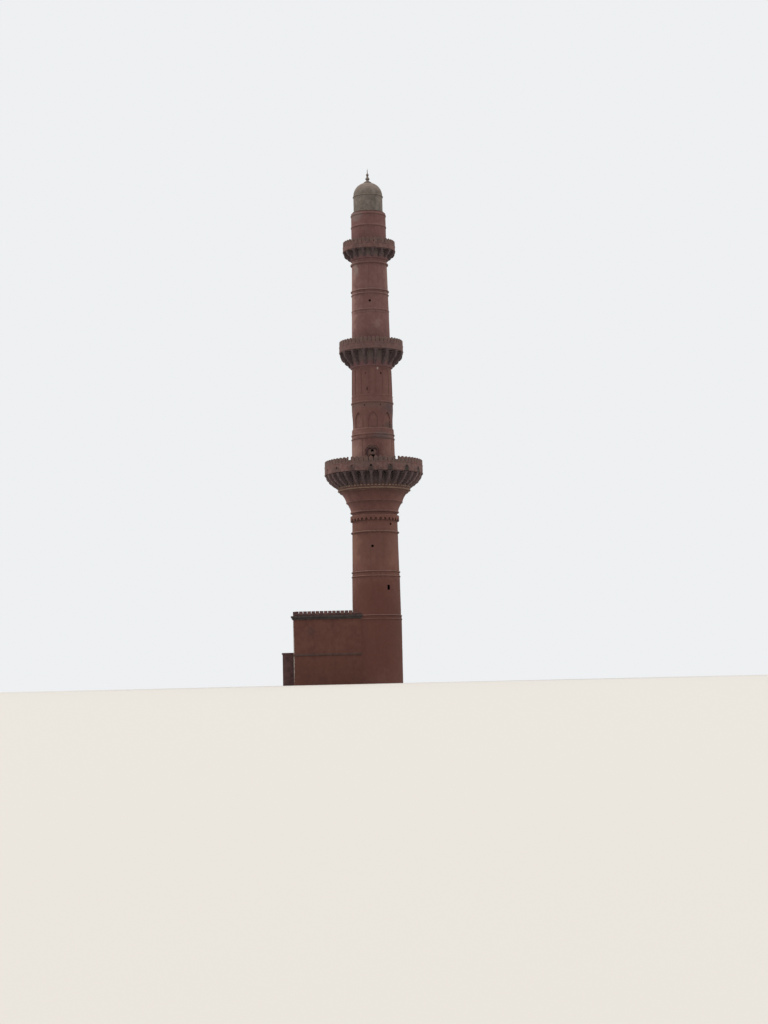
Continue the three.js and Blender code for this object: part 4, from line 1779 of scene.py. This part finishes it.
@dataclass(frozen=True)
class Terrace:
    """The low block of masonry behind the hall's far corner, with a coping."""

    far: float = -11.46
    front: float = -1.2
    near: float = -10.0
    rear: float = 2.4
    low: float = 3.78
    top: float = 4.0
    lap: float = 0.02
    out: float = 0.08
    worn: float = 0.04

    def build(self) -> None:
        """Builds the block and its coping."""
        high = self.low + self.lap
        body = block("terrace_block", (self.far, self.front, 0.0), (self.near, self.rear, high))
        grounded(hand_laid(sliced(body, (1, 2)), swell_mm=18.0, size_mm=700.0))
        corner = (self.far - self.out, self.front - self.out, self.low)
        coping = block("terrace_coping", corner, (self.near, self.rear, self.top))
        # It takes the darker purple red of the hall's merlons: painted shade for the shade it stands in.
        settle(joined([body, rounded(coping, self.worn)]), HALL_EDGE, ("terrace",))


@dataclass(frozen=True)
class Studio:
    """The pale floor, the light and the camera."""

    focal_px: float = 2000.0
    picture_px: float = 1024.0
    sensor_mm: float = 36.0
    distance: float = 121.5
    azimuth: float = 3.0
    height: float = -2.47
    pitch: float = 6.08
    yaw: float = 0.27
    roll: float = 1.27
    crest: float = -1.56
    slope: float = 0.03
    floor_half: float = 260.0
    floor_colour: str = "#c9c6c1"
    sky_colour: str = "#eef0f2"
    suns: tuple[tuple[str, float, float, str], ...] = (
        ("left_sun", -104.0, 1.5, "#fff4e6"),
        ("right_sun", 112.0, 0.9, "#fff6ea"),
    )
    sun_height: float = 45.0
    sun_size: float = 20.0

    def build(self) -> None:
        """Builds the stage."""
        self.floor()
        self.light()
        self.camera()
        bpy.context.scene.view_settings.view_transform = "Standard"

    def floor(self) -> None:
        """Lays a floor that falls gently towards the camera, which stands lower than the building."""
        bpy.ops.object.select_all(action="DESELECT")
        bpy.ops.mesh.primitive_plane_add(size=2 * self.floor_half, location=(0.0, 0.0, 0.0))
        floor = bpy.context.active_object
        floor.name = "studio_floor"
        with editing(floor):
            bpy.ops.mesh.bisect(plane_co=(0.0, self.crest, 0.0), plane_no=(0.0, 1.0, 0.0))
        pick_points(floor, lambda place: place.y < self.crest - 1.0)
        with editing(floor, everything=False):
            fall = (self.floor_half + self.crest) * self.slope
            bpy.ops.transform.translate(value=(0.0, 0.0, -fall))
        paper = bpy.data.materials.new("studio_paper")
        paper.use_nodes = True
        shader = paper.node_tree.nodes["Principled BSDF"]
        shader.inputs["Base Color"].default_value = linear(self.floor_colour)
        shader.inputs["Roughness"].default_value = 0.95
        floor.data.materials.append(paper)
        floor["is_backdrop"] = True

    def light(self) -> None:
        """Lights the scene evenly from a pale sky, with a soft sun on each side, a little behind."""
        world = bpy.data.worlds.new("pale_sky")
        world.use_nodes = True
        background = world.node_tree.nodes["Background"]
        background.inputs["Color"].default_value = linear(self.sky_colour)
        background.inputs["Strength"].default_value = 1.0
        bpy.context.scene.world = world
        for name, bearing, energy, colour in self.suns:
            towards = spot(bearing, 1.0, math.tan(math.radians(self.sun_height)))
            bpy.ops.object.light_add(type="SUN", rotation=towards.to_track_quat("Z", "Y").to_euler())
            sun = bpy.context.active_object
            sun.name = name
            sun.data.energy = energy
            sun.data.angle = math.radians(self.sun_size)
            sun.data.color = linear(colour)[:3]

    def camera(self) -> None:
        """Places the camera as the photograph's was, far off, low and turned a little."""
        azimuth = math.radians(self.azimuth)
        place = (self.distance * math.sin(azimuth), -self.distance * math.cos(azimuth), self.height)
        bpy.ops.object.camera_add(location=place)
        camera = bpy.context.active_object
        heading, pitch = math.radians(self.yaw - self.azimuth), math.radians(self.pitch)
        level = math.cos(pitch)
        forward = Vector((math.sin(heading) * level, math.cos(heading) * level, math.sin(pitch)))
        lean = Quaternion((0.0, 0.0, 1.0), math.radians(-self.roll))
        camera.rotation_euler = (forward.to_track_quat("-Z", "Y") @ lean).to_euler()
        camera.data.sensor_width = self.sensor_mm
        camera.data.lens = self.focal_px / self.picture_px * self.sensor_mm
        camera.data.clip_end = 1000.0
        bpy.context.scene.camera = camera


@dataclass(frozen=True)
class Minaret:
    """The whole building, from the ground up."""

    nodes: dict[str, Piece]

    def parts_of(self, prefix: str) -> tuple[str, ...]:
        """Names the CAD nodes that one wall is split into."""
        return tuple(name for name in self.nodes if name.startswith(prefix))

    def lower_shaft(self) -> LowerShaft:
        """Describes storey 1."""
        window = Window(-0.2, 16.57, 0.28, 0.28)
        rolls = (
            Roll(7.7, 7.85, 3.08),
            Roll(8.12, 8.3, 3.08),
            Roll(12.9, 13.08, 2.98),
            Roll(13.45, 13.62, 2.98),
            Roll(18.24, 18.49, 2.95),
            Roll(19.72, 20.45, 2.97),
        )
        wall = RoundWall(
            "storey1_wall",
            self.parts_of("storey1_"),
            ((0.0, 3.02), (8.0, 3.02), (8.35, 2.95), (12.7, 2.905), (13.8, 2.85), (20.64, 2.745)),
            rolls,
            bore=1.95,
            arches=(Arch(0.55, -1.0, 1.75, 2.4, bearing=270.0),),
            windows=(window, replace(window, side=Side.REAR), Window(1.62, 11.55, 0.28, 0.6)),
        )
        return LowerShaft(wall)

    def middle_shaft(self) -> MiddleShaft:
        """Describes storey 2."""
        slot = Window(-0.43, 35.86, 0.2, 0.42)
        door = Arch(0.5, 24.85, 27.3, 27.75)
        foot = ((25.85, 2.66), (29.9, 2.6), (31.0, 2.56))
        waist = ((31.1, 2.47), (32.7, 2.47), (33.4, 2.525))
        taper = ((34.8, 2.53), (35.2, 2.49), (38.6, 2.42))
        rolls = (
            Roll(29.74, 29.92, 2.675),
            Roll(30.22, 30.42, 2.67),
            Roll(34.17, 34.42, 2.615),
            Roll(35.02, 35.16, 2.54),
        )
        wall = RoundWall(
            "storey2_wall",
            self.parts_of("storey2_"),
            (*foot, *waist, *taper),
            rolls,
            bore=1.75,
            arches=(door,),
            windows=(Window(0.0, 28.23, 0.36, 0.28), slot, replace(slot, side=Side.REAR)),
        )
        return MiddleShaft(wall, door)

    def upper_storeys(self) -> tuple[RoundWall, ...]:
        """Describes storeys 3 and 4."""
        rolls = (
            Roll(45.38, 45.46, 2.31),
            Roll(45.68, 45.88, 2.335),
            Roll(47.7, 47.9, 2.335),
            Roll(48.15, 48.38, 2.37),
            Roll(51.5, 51.8, 2.35),
        )
        third = RoundWall(
            "storey3_wall",
            self.parts_of("storey3_"),
            ((40.9, 2.38), (45.3, 2.29), (52.1, 2.155)),
            rolls,
            bore=1.55,
            arches=(Arch(0.45, 40.0, 42.2, 42.8, bearing=180.0),),
            windows=(Window(0.08, 46.8, 0.26, 0.26),),
        )
        fourth = RoundWall(
            "storey4_wall",
            self.parts_of("storey4_"),
            ((53.5, 2.16), (58.1, 2.13)),
            (Roll(56.25, 56.5, 2.2), Roll(57.72, 57.95, 2.2)),
            bore=1.45,
            arches=(Arch(0.42, 52.5, 54.7, 55.25, bearing=180.0),),
        )
        return third, fourth

    def galleries(self) -> tuple[Gallery, ...]:
        """Describes the three gallery walls, the first with drains and two broken places."""
        sizes = (
            (GREAT_PARAPET, 25.45, 26.55, 27.18, 6.05, 0.35, 64),
            (PARAPET, 40.6, 41.42, 42.07, 3.975, 0.32, 48),
            (PARAPET, 53.25, 53.95, 54.56, 3.28, 0.28, 40),
        )
        first, second, third = (
            Gallery(f"gallery{number}", self.parts_of(f"gallery{number}_wall"), *size)
            for number, size in enumerate(sizes, 1)
        )
        return replace(first, breaks=(-26.3, 31.4), drains=16), second, third

    def corbels(self) -> tuple[Corbels, ...]:
        """Describes the corbelled rings under galleries 2 and 3."""
        middle = BracketRing(
            "brackets2",
            16,
            11.25,
            ((2.62, 38.85), (2.95, 39.2), (3.4, 39.65), (3.88, 40.4)),
            root=2.4,
            top=40.6,
            width=0.3,
            head_width=0.5,
        )
        small = BracketRing(
            "brackets3",
            16,
            11.25,
            ((2.36, 52.3), (2.75, 52.6), (3.19, 53.1)),
            root=2.1,
            top=53.25,
            width=0.26,
            head_width=0.42,
            head_height=0.14,
        )
        faces = (
            ((2.42, 38.6), (2.6, 38.7), (2.64, 38.85), (2.7, 39.2), (3.0, 40.6)),
            ((2.155, 52.1), (2.32, 52.18), (2.36, 52.3), (2.45, 53.25)),
        )
        return (
            Corbels("corbels2", "gallery2_corbels", faces[0], 1.75, MIDDLE_BAYS, MIDDLE_BRACKETS, middle),
            Corbels("corbels3", "gallery3_corbels", faces[1], 1.55, SMALL_BAYS, SMALL_BRACKETS, small),
        )

    def build(self) -> None:
        """Builds every sub-assembly in order."""
        parts = (self.lower_shaft(), Throat(), self.middle_shaft(), *self.corbels(), *self.galleries())
        for part in parts:
            part.build()
        for wall in self.upper_storeys():
            settle(wall.mesh(), TOP_RED, wall.nodes)
        for part in (Dome(), Hall(), Terrace()):
            part.build()
        self.dress_floors()

    def dress_floors(self) -> None:
        """Gives the floors, which stay as the CAD's own nodes, their finishes."""
        floors = {f"gallery{number}_floor": GALLERY_FLOOR for number in (1, 2, 3)}
        for name, finish in {**floors, "hall_floor": FLAGS, "tower_floor": FLAGS}.items():
            materials = self.nodes[name].data.materials
            materials.clear()
            materials.append(finish.material())
            log.info("%s: CAD node, dressed with %s", name, finish.name)


def corners() -> list[list[float]]:
    """Measures the shown object's box, as plain lists."""
    return [list(corner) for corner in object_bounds()]


def main() -> None:
    logging.basicConfig(level=logging.INFO, format="%(name)s: %(message)s")
    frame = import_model()
    Minaret(frame["nodes"]).build()
    Studio().build()


if __name__ == "__main__":
    main()
